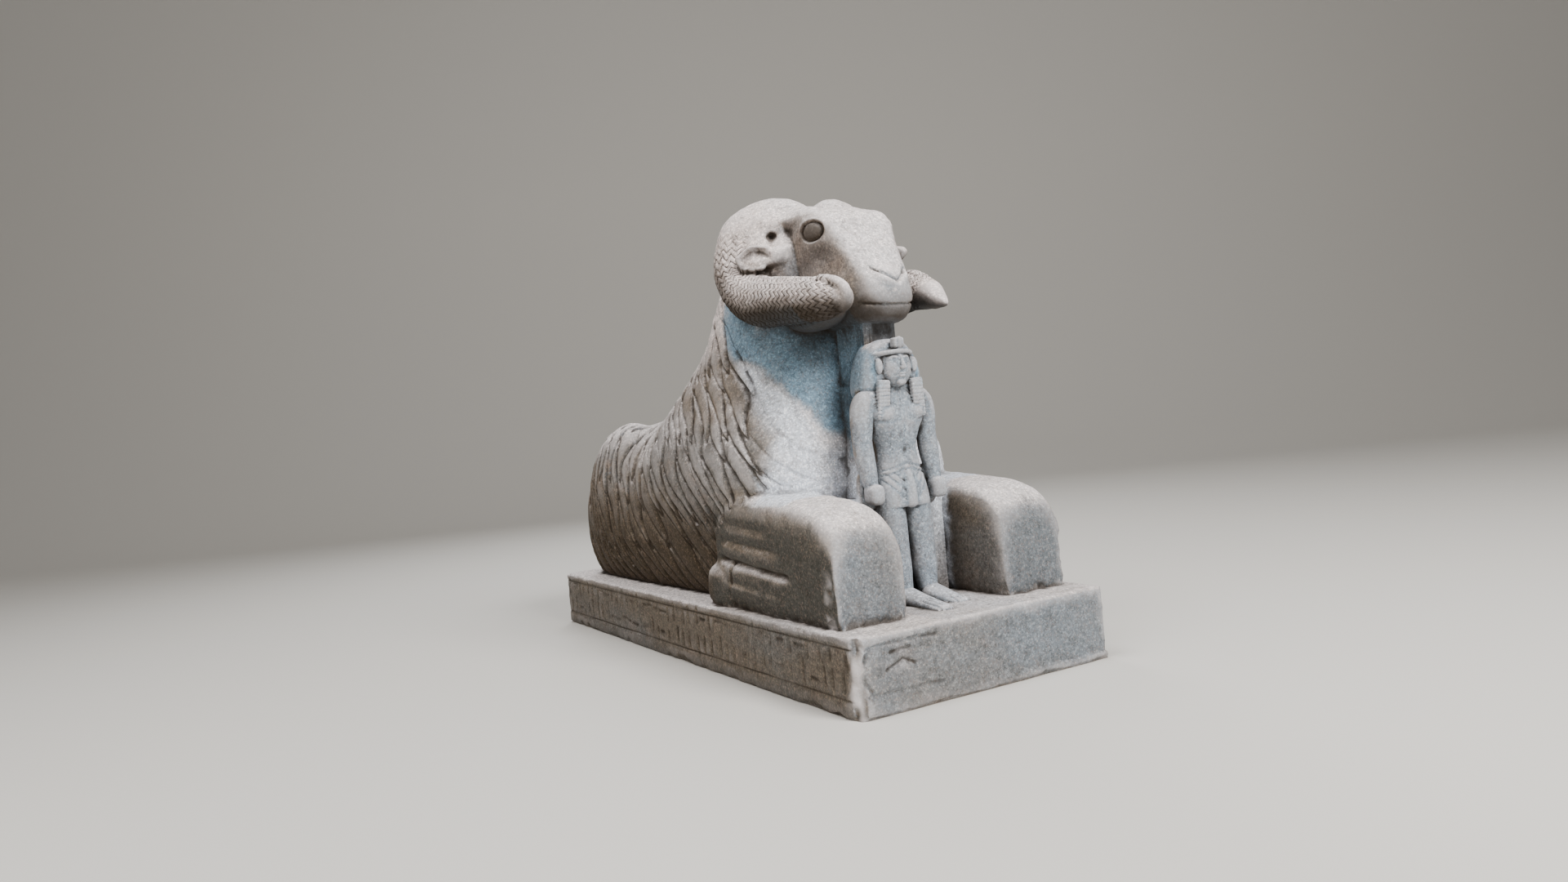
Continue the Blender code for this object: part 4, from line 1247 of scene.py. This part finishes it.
def mark_bands(skin, start):
    """The painted bluish shadow under the ram's head, the stone's own pale, pink and orange patches, and
    where painted shade is left out.
    """
    x, y, z = folded(skin.model)
    normals, waver = skin.normals, skin.waver
    # Painted shadow: the ram's head casts a cool, bluish shadow over the throat, the king's headcloth and the
    # pillar
    edge = np.interp(y, *np.array(BLUE_SHADOW_EDGE).T)
    throat = smoothstep(-0.006, 0.012, z - edge + waver) * (y > -0.60) * (y < -0.10)
    under_horn = (z < 0.70) * (y > -0.30) * (x < 0.195) * smoothstep(-0.25, -0.10, normals[:, 2])
    throat *= np.maximum(smoothstep(0.645, 0.600, z), under_horn) * smoothstep(-0.125, -0.165, y) * (x < 0.24)
    slab = (x < 0.134) * (y < -0.43) * smoothstep(-0.560, -0.548, y) * smoothstep(0.26, 0.22, z) * (z > 0.0)
    cloth = (y < -0.52) * (x < 0.085) * smoothstep(0.445, 0.455, z) * smoothstep(0.046, 0.054, x) * (z < 0.56)
    pillar = smoothstep(0.545, 0.560, z) * smoothstep(0.600, 0.588, z)
    pillar *= (y < -0.43) * (y > -0.60) * (x < 0.060)
    blue = np.clip(np.maximum(throat * (y > -0.535), np.maximum(cloth, 0.6 * pillar)), 0, 1)
    skin.mark("blue", blue)
    chest = np.maximum(smoothstep(-0.30, -0.37, start + waver), smoothstep(-0.385, -0.425, y + waver))
    chest *= smoothstep(0.02, -0.03, z - edge + waver) * (z > 0.23) * (y > -0.53) * (y < -0.2)
    skin.mark("pale", np.maximum.reduce((chest * (1 - skin.on_plinth), slab, 0.9 * pillar)))
    statuette = (y < -0.555) * (x < 0.105) * (z < 0.56) * (1 - skin.on_plinth)
    skin.mark("statuette", statuette * (1 - blue))
    beside_king = smoothstep(0.05, 0.085, x) * smoothstep(0.16, 0.12, x)
    beside_king *= (y > -0.53) * (y < -0.40) * (z > 0.22)
    skin.mark("pink", beside_king * (1 - blue) * (z < 0.45))

    cheek = smoothstep(0.30, 0.75, np.abs(normals[:, 0])) * (z > 0.67) * smoothstep(-0.57, -0.52, y)
    cheek *= smoothstep(-0.355, -0.385, y) * smoothstep(0.128, 0.115, x)
    # Stone that faces down, which gets painted shade
    under = smoothstep(0.12, -0.42, normals[:, 2]) * smoothstep(0.50, 0.56, z)
    horn = smoothstep(0.56, 0.60, z) * smoothstep(0.105, 0.125, x) * (1 - under)
    skin.mark("horn", skin.spread(np.maximum(horn, 0.35 * cheek), 6))
    plinth_top = skin.on_plinth * smoothstep(0.7, 0.95, normals[:, 2])
    far_horn = 0.9 * (skin.model[:, 0] > 0.10) * (y < -0.38) * (z > 0.58)
    # Places where the painted shade of sheltered places is left out
    no_painted_shade = (slab, 0.9 * plinth_top, 0.6 * beside_king, far_horn, 0.9 * pillar, 0.9 * cheek)
    skin.mark("no_painted_shade", np.maximum.reduce(no_painted_shade))
    mark_shade(skin, under)


def mark_shade(skin, under):
    """Painted shade on stone that faces down, and round the king's shoulders under the jaw and the horns."""
    x, y, z = folded(skin.model)
    shade = smoothstep(0.004, -0.022, x - np.interp(z, *np.array(SHADE_EDGE).T)) * smoothstep(0.045, 0.060, x)
    shade *= (0.35 * smoothstep(0.34, 0.41, z) + 0.45 * smoothstep(0.48, 0.58, z)) * (z < 0.66) * (y < -0.30)
    shade *= (y > -0.53)
    jaw = smoothstep(0.640, 0.622, z) * (z > 0.57) * smoothstep(-0.46, -0.52, y) * (x < 0.09)
    bulge = smoothstep(0.645, 0.630, z) * (z > 0.57) * (y < -0.34) * (y > -0.57) * (x > 0.045) * (x < 0.125)
    skin.mark("under", skin.spread(np.maximum.reduce((under, shade, 0.75 * jaw, bulge)), 6))


def mark_wear(skin, sizes):
    """Pale scars, painted light on tops and front faces, painted shade on sides and low stone, the eyes, and
    where the border lines are drawn.
    """
    x, y, z = folded(skin.model)
    places, normals, on_plinth, model = skin.places, skin.normals, skin.on_plinth, skin.model
    eye = oval_reach(y, z, EYE_MIDDLE, EYE_HALF_SIZE)
    skin.mark("face", smoothstep(1.15, 0.95, eye) * smoothstep(0.06, 0.075, x) * (z < 0.86))
    edge_line = np.hypot(model[:, 0] + 0.286, model[:, 1] + 0.702)
    knee = smoothstep(0.016, 0.006, edge_line + 0.006 * mottle(model, 0.02, 53)) * (z < 0.185)
    knee *= 0.7 * smoothstep(-0.2, 0.6, mottle(model, 0.018, 55))
    corner = np.hypot(places[:, 0] + sizes.plinth_width / 2, places[:, 1] + sizes.plinth_length / 2)
    chip = smoothstep(0.023, 0.011, corner + 0.006 * mottle(model, 0.02, 54)) * on_plinth
    skin.mark("scar", np.maximum(knee, chip * smoothstep(-0.9, 0.0, mottle(model, 0.03, 56))))
    # Stone that faces the front, which gets painted cool light
    skin.mark("front", smoothstep(0.55, 0.92, -normals[:, 1]))
    # Painted light on stone that faces up: less on the plinth's top toward its front, where a shadow is
    # painted, and more behind
    painted_plinth_shadow = on_plinth * (0.5 * smoothstep(-0.22, -0.28, y) - 0.25 * smoothstep(-0.28, -0.22, y))
    level = np.where(z > 0.62, smoothstep(0.10, 0.62, normals[:, 2]), smoothstep(0.34, 0.88, normals[:, 2]))
    skin.mark("painted_top_light", level * (1 - painted_plinth_shadow))

    not_upward = smoothstep(0.4, 0.0, normals[:, 2])
    # Painted shade low on the flanks, on stone that doesn't face up
    low = smoothstep(0.40, 0.10, z) * (1 - on_plinth) * smoothstep(-0.30, -0.20, y)
    skin.mark("low", low * not_upward)
    # Painted shade on the forelegs' sides, on part of the far foreleg and on the plinth's sides, darker along
    # the plinth's foot
    leg = 0.95 * smoothstep(0.235, 0.185, z) * (1 - on_plinth) * smoothstep(-0.18, -0.22, y) * (x > 0.235)
    sideways = np.abs(normals[:, 0]) - np.maximum(-normals[:, 1], 0)
    leg *= smoothstep(-0.05, 0.35, sideways) * not_upward
    plinth_side = on_plinth * smoothstep(0.5, 0.8, np.abs(normals[:, 0]))
    side = plinth_side * (0.42 + 0.3 * smoothstep(0.03, 0.008, places[:, 2]))
    far_leg = 0.3 * (model[:, 0] > 0.10) * (y < -0.50) * (z < 0.27) * (1 - on_plinth)
    skin.mark("side_shade", np.maximum.reduce((leg, side, far_leg)))
    skin.mark("border", plinth_side * (0.55 + 0.45 * smoothstep(-0.5, 0.3, mottle(places, 0.06, 57))))


def mark_surface(obj, sizes):
    """Attributes that the stone's material reads."""
    skin = Skin(obj, sizes)
    mark_depth(skin)
    start = mark_carving(skin, sizes)
    mark_bands(skin, start)
    mark_wear(skin, sizes)


# Material

def lock_lines(nodes, sizes):
    """1 in the grooves round the locks of the fleece, as lock_relief() lays them."""
    pitch, width = sizes.lock_length / LOCK_ROWS, sizes.lock_width
    step = nodes.attribute("lock_along", 1 / pitch)
    place = nodes.attribute("lock_across", 1 / width)
    top_row = nodes.math("FLOOR", step)
    lines = 0.0
    for back in range(LOCK_ROWS + 1):
        row = nodes.minus(top_row, float(back))
        column = nodes.plus(place, nodes.times(nodes.math("FLOORED_MODULO", row, 2.0), 0.5))
        number = nodes.math("FLOOR", column)
        angle = nodes.plus(nodes.times(number, JITTER_BY_COLUMN), nodes.times(row, JITTER_BY_ROW))
        jitter = nodes.times(nodes.math("SINE", angle), LOCK_JITTER)
        share = nodes.math("DIVIDE", nodes.plus(nodes.minus(step, row), jitter), float(LOCK_ROWS))
        across = nodes.times(nodes.minus(column, number), 2.0)
        offset = nodes.math("ABSOLUTE", nodes.minus(across, 1.0))
        taper = nodes.math("POWER", nodes.span(share, LOCK_SHOULDER, 1.0, kind="LINEAR"), LOCK_TAPER)
        half = nodes.minus(1.0, taper)
        present = nodes.times(nodes.math("GREATER_THAN", share, 0.0), nodes.math("LESS_THAN", share, 1.0))
        inside = nodes.times(nodes.math("LESS_THAN", offset, half), present)
        gap = nodes.math("ABSOLUTE", nodes.times(nodes.minus(offset, half), width / 2))
        rim = nodes.times(nodes.span(gap, 0.0048, 0.0008), present)
        lines = nodes.larger(nodes.times(lines, nodes.minus(1.0, inside)), rim)
    return nodes.times(lines, nodes.attribute("fleece"))


def scale_rise(nodes, sizes):
    """The saw-edged rise of the horns' scales, as scale_share() lays them, from 0 at each edge to 1."""
    pitch = sizes.scale_pitch
    turn = nodes.math("DIVIDE", nodes.attribute("horn_round"), ZIGZAG_BREADTH * pitch)
    turn = nodes.math("FLOORED_MODULO", turn, 2.0)
    zigzag = nodes.math("ABSOLUTE", nodes.minus(turn, 1.0))
    along = nodes.math("DIVIDE", nodes.attribute("horn_along"), pitch)
    return nodes.math("FRACT", nodes.plus(along, nodes.times(zigzag, ZIGZAG_HEIGHT)))


# Factors on the stone's own colour
DARK_GRAIN = (0.15, 0.12, 0.09, 1)
LIGHT_GRAIN = (1.85, 1.8, 1.75, 1)
LIGHT_FLECK = (1.75, 1.7, 1.65, 1)

STONE_ROUGHNESS = 0.75
STONE_SPECULAR = 0.3
STONE_BUMP = 0.8


def layered(nodes, stone, layers):
    """The stone's colour under layers of (share, colour), each over the one before."""
    for share, paint in layers:
        stone = nodes.mix(share, stone, paint)
    return stone


def banded_stone(nodes, where, colours):
    """The stone's colour in its bands and patches, with painted light on its tops and front faces and painted
    shade on its sides, low flanks and under the ram's head.
    """
    pale, warm, grey, cool = colours.pale, colours.warm, colours.grey, colours.cool
    broad = nodes.noise(where, 2.4, 5.0, 0.6, (1.0, 0.7, 1.7))
    blotch = nodes.noise(where, 13.0, 6.0, 0.65)
    front = nodes.times(nodes.attribute("front"), nodes.span(broad, 0.3, 0.6, 0.55, 1.0))
    horn = nodes.times(nodes.attribute("horn"), nodes.span(blotch, 0.30, 0.65, 0.95, 0.50))
    mottled = nodes.times(nodes.attribute("pale"), nodes.span(blotch, 0.36, 0.60, 0.80, 1.0))
    bluish = nodes.times(nodes.attribute("blue"), nodes.span(blotch, 0.25, 0.55, 0.7, 0.95))
    return layered(nodes, colours.tan, (
        (nodes.span(broad, 0.44, 0.62, 0.0, 0.32), grey),
        (nodes.span(blotch, 0.52, 0.72, 0.0, 0.22), warm),
        # Painted cool light: stone that faces the front turns grey
        (nodes.times(front, 0.75), grey),
        # Painted shade low on the flanks
        (nodes.attribute("low", 0.92), colours.brown),
        # Painted shade on the forelegs' and the plinth's sides
        (nodes.attribute("side_shade"), colours.side_shade),
        # Painted light on stone that faces up
        (nodes.attribute("painted_top_light", 0.75), pale),
        (horn, nodes.mix(0.35, pale, warm)),
        (nodes.attribute("statuette", 0.62), nodes.mix(0.33, grey, cool)),
        (nodes.attribute("pink", 0.95), nodes.mix(0.6, warm, pale)),
        (mottled, nodes.mix(0.6, pale, cool)),
        # The painted bluish shadow under the ram's head
        (bluish, colours.blue),
    ))


def grained(nodes, where, stone, colours):
    """The stone with dark and light grains, soft clouds and fine flecks."""
    cells = nodes.add("ShaderNodeTexVoronoi", {"Vector": where, "Scale": 330.0})
    grains = nodes.add("ShaderNodeSeparateColor", {0: cells.outputs["Color"]})
    clouds = nodes.noise(where, 40.0, 4.0, 0.6)
    flecks = nodes.noise(where, 120.0, 3.0, 0.7)
    dark = nodes.times(nodes.span(grains.outputs[0], 0.62, 0.88, 0.0, 0.34), nodes.span(clouds, 0.35, 0.6))
    stone = nodes.mix(dark, stone, DARK_GRAIN, "MULTIPLY")
    stone = nodes.mix(nodes.span(grains.outputs[1], 0.62, 0.88, 0.0, 0.6), stone, LIGHT_GRAIN, "MULTIPLY")
    stone = nodes.mix(nodes.span(grains.outputs[2], 0.80, 0.92, 0.0, 0.18), stone, colours.warm)
    stone = nodes.mix(nodes.span(clouds, 0.50, 0.75, 0.0, 0.25), stone, colours.brown)
    stone = nodes.mix(nodes.span(flecks, 0.50, 0.66, 0.0, 0.36), stone, DARK_GRAIN, "MULTIPLY")
    return nodes.mix(nodes.span(flecks, 0.46, 0.32, 0.0, 0.6), stone, LIGHT_FLECK, "MULTIPLY")


def darkened_grooves(nodes, where, sizes, locks, rise):
    """Where the stone is darkened: round the locks and scales, along the border lines and in every small
    hollow.
    """
    scale_line = nodes.times(nodes.span(rise, 0.30, 0.03), nodes.attribute("scaled"))
    grooves = nodes.larger(nodes.times(locks, 0.75), nodes.times(scale_line, 0.90))
    height = nodes.add("ShaderNodeSeparateXYZ", {0: where})
    for share in BORDERS:
        gap = nodes.math("ABSOLUTE", nodes.minus(height.outputs["Z"], share * sizes.plinth_height))
        line = nodes.times(nodes.span(gap, 0.0030, 0.0006, 0.0, 0.8), nodes.attribute("border"))
        grooves = nodes.larger(grooves, line)
    return nodes.larger(grooves, nodes.span(nodes.attribute("hollow"), 0.05, 0.55, 0.0, 0.85))


def weathered(nodes, stone, grooves, colours):
    """The stone rubbed pale on its edges, darkened in grooves and small hollows, with painted shade in
    sheltered places and on stone that faces down, and scarred.
    """
    light = nodes.times(nodes.minus(1.0, nodes.attribute("low")), nodes.minus(1.0, nodes.attribute("side_shade")))
    rubbed = nodes.times(light, nodes.span(nodes.attribute("hollow"), -0.05, -0.45, 0.0, 0.30))
    # Painted shade: the more closed in a place is, the browner it turns, except where that shade is left out
    closed = nodes.times(nodes.span(nodes.attribute("shelter"), 0.55, 1.0, 0.0, 0.65),
                         nodes.minus(1.0, nodes.attribute("no_painted_shade")))
    return layered(nodes, stone, (
        (rubbed, colours.pale),
        (nodes.attribute("face", 0.75), colours.brown),
        (grooves, colours.hollow_dark_and_shade),
        (closed, colours.brown),
        # Painted shade under the jaw, round the king's shoulders and on stone that faces down
        (nodes.attribute("under", 0.90), colours.hollow_dark_and_shade),
        (nodes.attribute("scar", 0.8), colours.pale),
    ))


def fine_relief(nodes, where, locks, rise):
    """Heights in metres for the bump: pits, and the crisp edges of the locks and scales."""
    pits = nodes.times(nodes.noise(where, 190.0, 3.0, 0.7), 0.0010)
    relief = nodes.plus(pits, nodes.times(nodes.noise(where, 60.0, 3.0), 0.0012))
    relief = nodes.minus(relief, nodes.times(locks, 0.0020))
    return nodes.plus(relief, nodes.times(nodes.times(rise, nodes.attribute("scaled")), 0.0016))


def granite(colours, sizes):
    material = bpy.data.materials.new("granite")
    material.use_nodes = True
    nodes = Nodes(material.node_tree)
    shader = material.node_tree.nodes["Principled BSDF"]
    nodes.put(STONE_ROUGHNESS, shader.inputs["Roughness"])
    nodes.put(STONE_SPECULAR, shader.inputs["Specular IOR Level"])
    where = nodes.add("ShaderNodeTexCoord").outputs["Object"]
    locks, rise = lock_lines(nodes, sizes), scale_rise(nodes, sizes)
    stone = grained(nodes, where, banded_stone(nodes, where, colours), colours)
    stone = weathered(nodes, stone, darkened_grooves(nodes, where, sizes, locks, rise), colours)
    nodes.put(stone, shader.inputs["Base Color"])
    relief = fine_relief(nodes, where, locks, rise)
    bump = nodes.add("ShaderNodeBump", {"Strength": STONE_BUMP, "Distance": 1.0, "Height": relief})
    nodes.put(bump.outputs["Normal"], shader.inputs["Normal"])
    return material


class STATUE_OT_carve_stone(bpy.types.Operator):
    """Carves the ram, the standing king and the plinth as one stone"""

    bl_idname = "statue.carve_stone"
    bl_label = "Carve the stone"

    def execute(self, context):
        sizes = context.scene.stone_sizes
        material = granite(context.scene.stone_colours, sizes)
        masses = [carved_beast(sizes), carved_head(sizes), carved_king(), carved_king_head()]
        stone = carved_plinth(sizes, material)
        stone.name = "carved_granite_ram"
        for mass in masses:
            carved_to_size(mass, sizes)
            join = stone.modifiers.new("join " + mass.name, "BOOLEAN")
            join.operation = "UNION"
            join.solver = "MANIFOLD"
            join.object = mass
        stone.data = baked(stone)
        stone.modifiers.clear()
        for mass in masses:
            bpy.data.objects.remove(mass)
        without_pockets(stone)
        if not stone.data.polygons:
            raise RuntimeError("the carved masses could not be joined")
        mark_surface(stone, sizes)
        stone.data.materials.clear()
        stone.data.materials.append(material)
        stone.data.shade_smooth()
        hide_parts(STONE_NODE)
        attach(stone, "root")
        return {"FINISHED"}


def camera_turn(azimuth, elevation, roll):
    """Camera axes for a view from this side and height in degrees, rolled about its line of sight."""
    a, e, r = (math.radians(v) for v in (azimuth, elevation, roll))
    back = Vector((math.sin(a) * math.cos(e), -math.cos(a) * math.cos(e), math.sin(e)))
    right = Vector((0, 0, 1)).cross(back).normalized()
    up = back.cross(right)
    across = right * math.cos(r) + up * math.sin(r)
    upright = up * math.cos(r) - right * math.sin(r)
    return Matrix((across, upright, back)).transposed().to_4x4()


# The photograph's camera: its place, its angles in degrees, and its focal length and width in pixels
CAMERA_PLACE = (-1.316, -2.409, 0.543)
CAMERA_AZIMUTH, CAMERA_ELEVATION, CAMERA_ROLL = -29.49, 0.86, -5.54
PHOTO_FOCAL_LENGTH, PHOTO_WIDTH = 1303.7, 1920
SENSOR_WIDTH = 36.0

# The floor faces the camera, runs back to a bend and rises behind it
FLOOR_TURN = -29.5
FLOOR_HALF_WIDTH = 14.0
FLOOR_FRONT, FLOOR_BEND, FLOOR_RADIUS, FLOOR_TOP = -9.0, 5.0, 3.0, 9.0
FLOOR_BEND_STEPS = 16

LIGHTS = (
    # name, place, target, size, power, colour
    ("key light", (0.5, -3.9, 3.4), (0, -0.2, 0.5), 1.7, 265, (1.0, 0.98, 0.96)),
    ("top light", (-1.8, -0.6, 4.4), (0, 0, 0.3), 2.4, 120, (1.0, 0.98, 0.97)),
    ("side light", (-3.6, -1.6, 1.2), (0, 0, 0.5), 2.2, 12, (1.0, 0.93, 0.85)),
    ("back light", (1.0, 3.2, 3.0), (0, 0, 0.6), 1.8, 60, (0.95, 0.97, 1.0)),
)
WORLD_COLOUR = (1.0, 0.97, 0.93, 1)
WORLD_STRENGTH = 0.25


def pale_floor(colour):
    bm = bmesh.new()
    profile = [(FLOOR_FRONT, 0.0), (FLOOR_BEND, 0.0)]
    for k in range(1, FLOOR_BEND_STEPS + 1):
        angle = math.pi / 2 * k / FLOOR_BEND_STEPS
        back, rise = FLOOR_RADIUS * math.sin(angle), FLOOR_RADIUS * math.cos(angle)
        profile.append((FLOOR_BEND + back, FLOOR_RADIUS - rise))
    profile.append((FLOOR_BEND + FLOOR_RADIUS, FLOOR_TOP))
    near, far = [[bm.verts.new((x, y, z)) for y, z in profile] for x in (-FLOOR_HALF_WIDTH, FLOOR_HALF_WIDTH)]
    for k in range(len(profile) - 1):
        bm.faces.new((near[k], far[k], far[k + 1], near[k + 1]))
    turn = Matrix.Rotation(math.radians(FLOOR_TURN), 3, "Z")
    bmesh.ops.rotate(bm, verts=bm.verts, cent=(0, 0, 0), matrix=turn)
    mesh = bpy.data.meshes.new("pale_floor")
    bm.to_mesh(mesh)
    bm.free()
    mesh.shade_smooth()
    material = bpy.data.materials.new("pale floor")
    material.use_nodes = True
    shader = material.node_tree.nodes["Principled BSDF"]
    shader.inputs["Base Color"].default_value = tuple(colour)
    shader.inputs["Roughness"].default_value = 0.9
    mesh.materials.append(material)
    return new_object("pale_floor", mesh)


def photo_camera():
    data = bpy.data.cameras.new("camera")
    data.sensor_width = SENSOR_WIDTH
    data.lens = SENSOR_WIDTH * PHOTO_FOCAL_LENGTH / PHOTO_WIDTH
    camera = new_object("camera", data)
    turn = camera_turn(CAMERA_AZIMUTH, CAMERA_ELEVATION, CAMERA_ROLL)
    camera.matrix_world = Matrix.Translation(CAMERA_PLACE) @ turn
    return camera


def soft_light(name, place, target, size, power, colour):
    data = bpy.data.lights.new(name, "AREA")
    data.shape = "DISK"
    data.size = size
    data.energy = power
    data.color = colour
    aim = (Vector(target) - Vector(place)).to_track_quat("-Z", "Y").to_matrix().to_4x4()
    new_object(name, data).matrix_world = Matrix.Translation(place) @ aim


class STATUE_OT_set_stage(bpy.types.Operator):
    """Lays the pale floor and sets the camera and the soft lights"""

    bl_idname = "statue.set_stage"
    bl_label = "Set the stage"

    def execute(self, context):
        floor = pale_floor(context.scene.stone_colours.floor)
        context.scene.camera = photo_camera()
        for light in LIGHTS:
            soft_light(*light)
        world = bpy.data.worlds.new("studio")
        world.use_nodes = True
        background = world.node_tree.nodes["Background"]
        background.inputs["Color"].default_value = WORLD_COLOUR
        background.inputs["Strength"].default_value = WORLD_STRENGTH
        context.scene.world = world
        return {"FINISHED"}


class STATUE_PT_panel(bpy.types.Panel):
    bl_label = "Granite ram"
    bl_idname = "STATUE_PT_panel"
    bl_space_type = "VIEW_3D"
    bl_region_type = "UI"
    bl_category = "Granite Ram"

    def draw(self, context):
        for group in (context.scene.stone_sizes, context.scene.stone_colours):
            for name in group.bl_rna.properties.keys():
                if name not in ("rna_type", "name"):
                    self.layout.prop(group, name)
        for operator in (STATUE_OT_carve_stone, STATUE_OT_set_stage):
            self.layout.operator(operator.bl_idname)


CLASSES = (StoneSizes, StoneColours, STATUE_OT_carve_stone, STATUE_OT_set_stage, STATUE_PT_panel)


def register():
    for cls in CLASSES:
        bpy.utils.register_class(cls)
    bpy.types.Scene.stone_sizes = bpy.props.PointerProperty(type=StoneSizes)
    bpy.types.Scene.stone_colours = bpy.props.PointerProperty(type=StoneColours)


def unregister():
    del bpy.types.Scene.stone_colours
    del bpy.types.Scene.stone_sizes
    for cls in reversed(CLASSES):
        bpy.utils.unregister_class(cls)


def main():
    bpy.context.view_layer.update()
    register()
    bpy.ops.statue.set_stage()
    bpy.ops.statue.carve_stone()


if __name__ == "__main__":
    main()
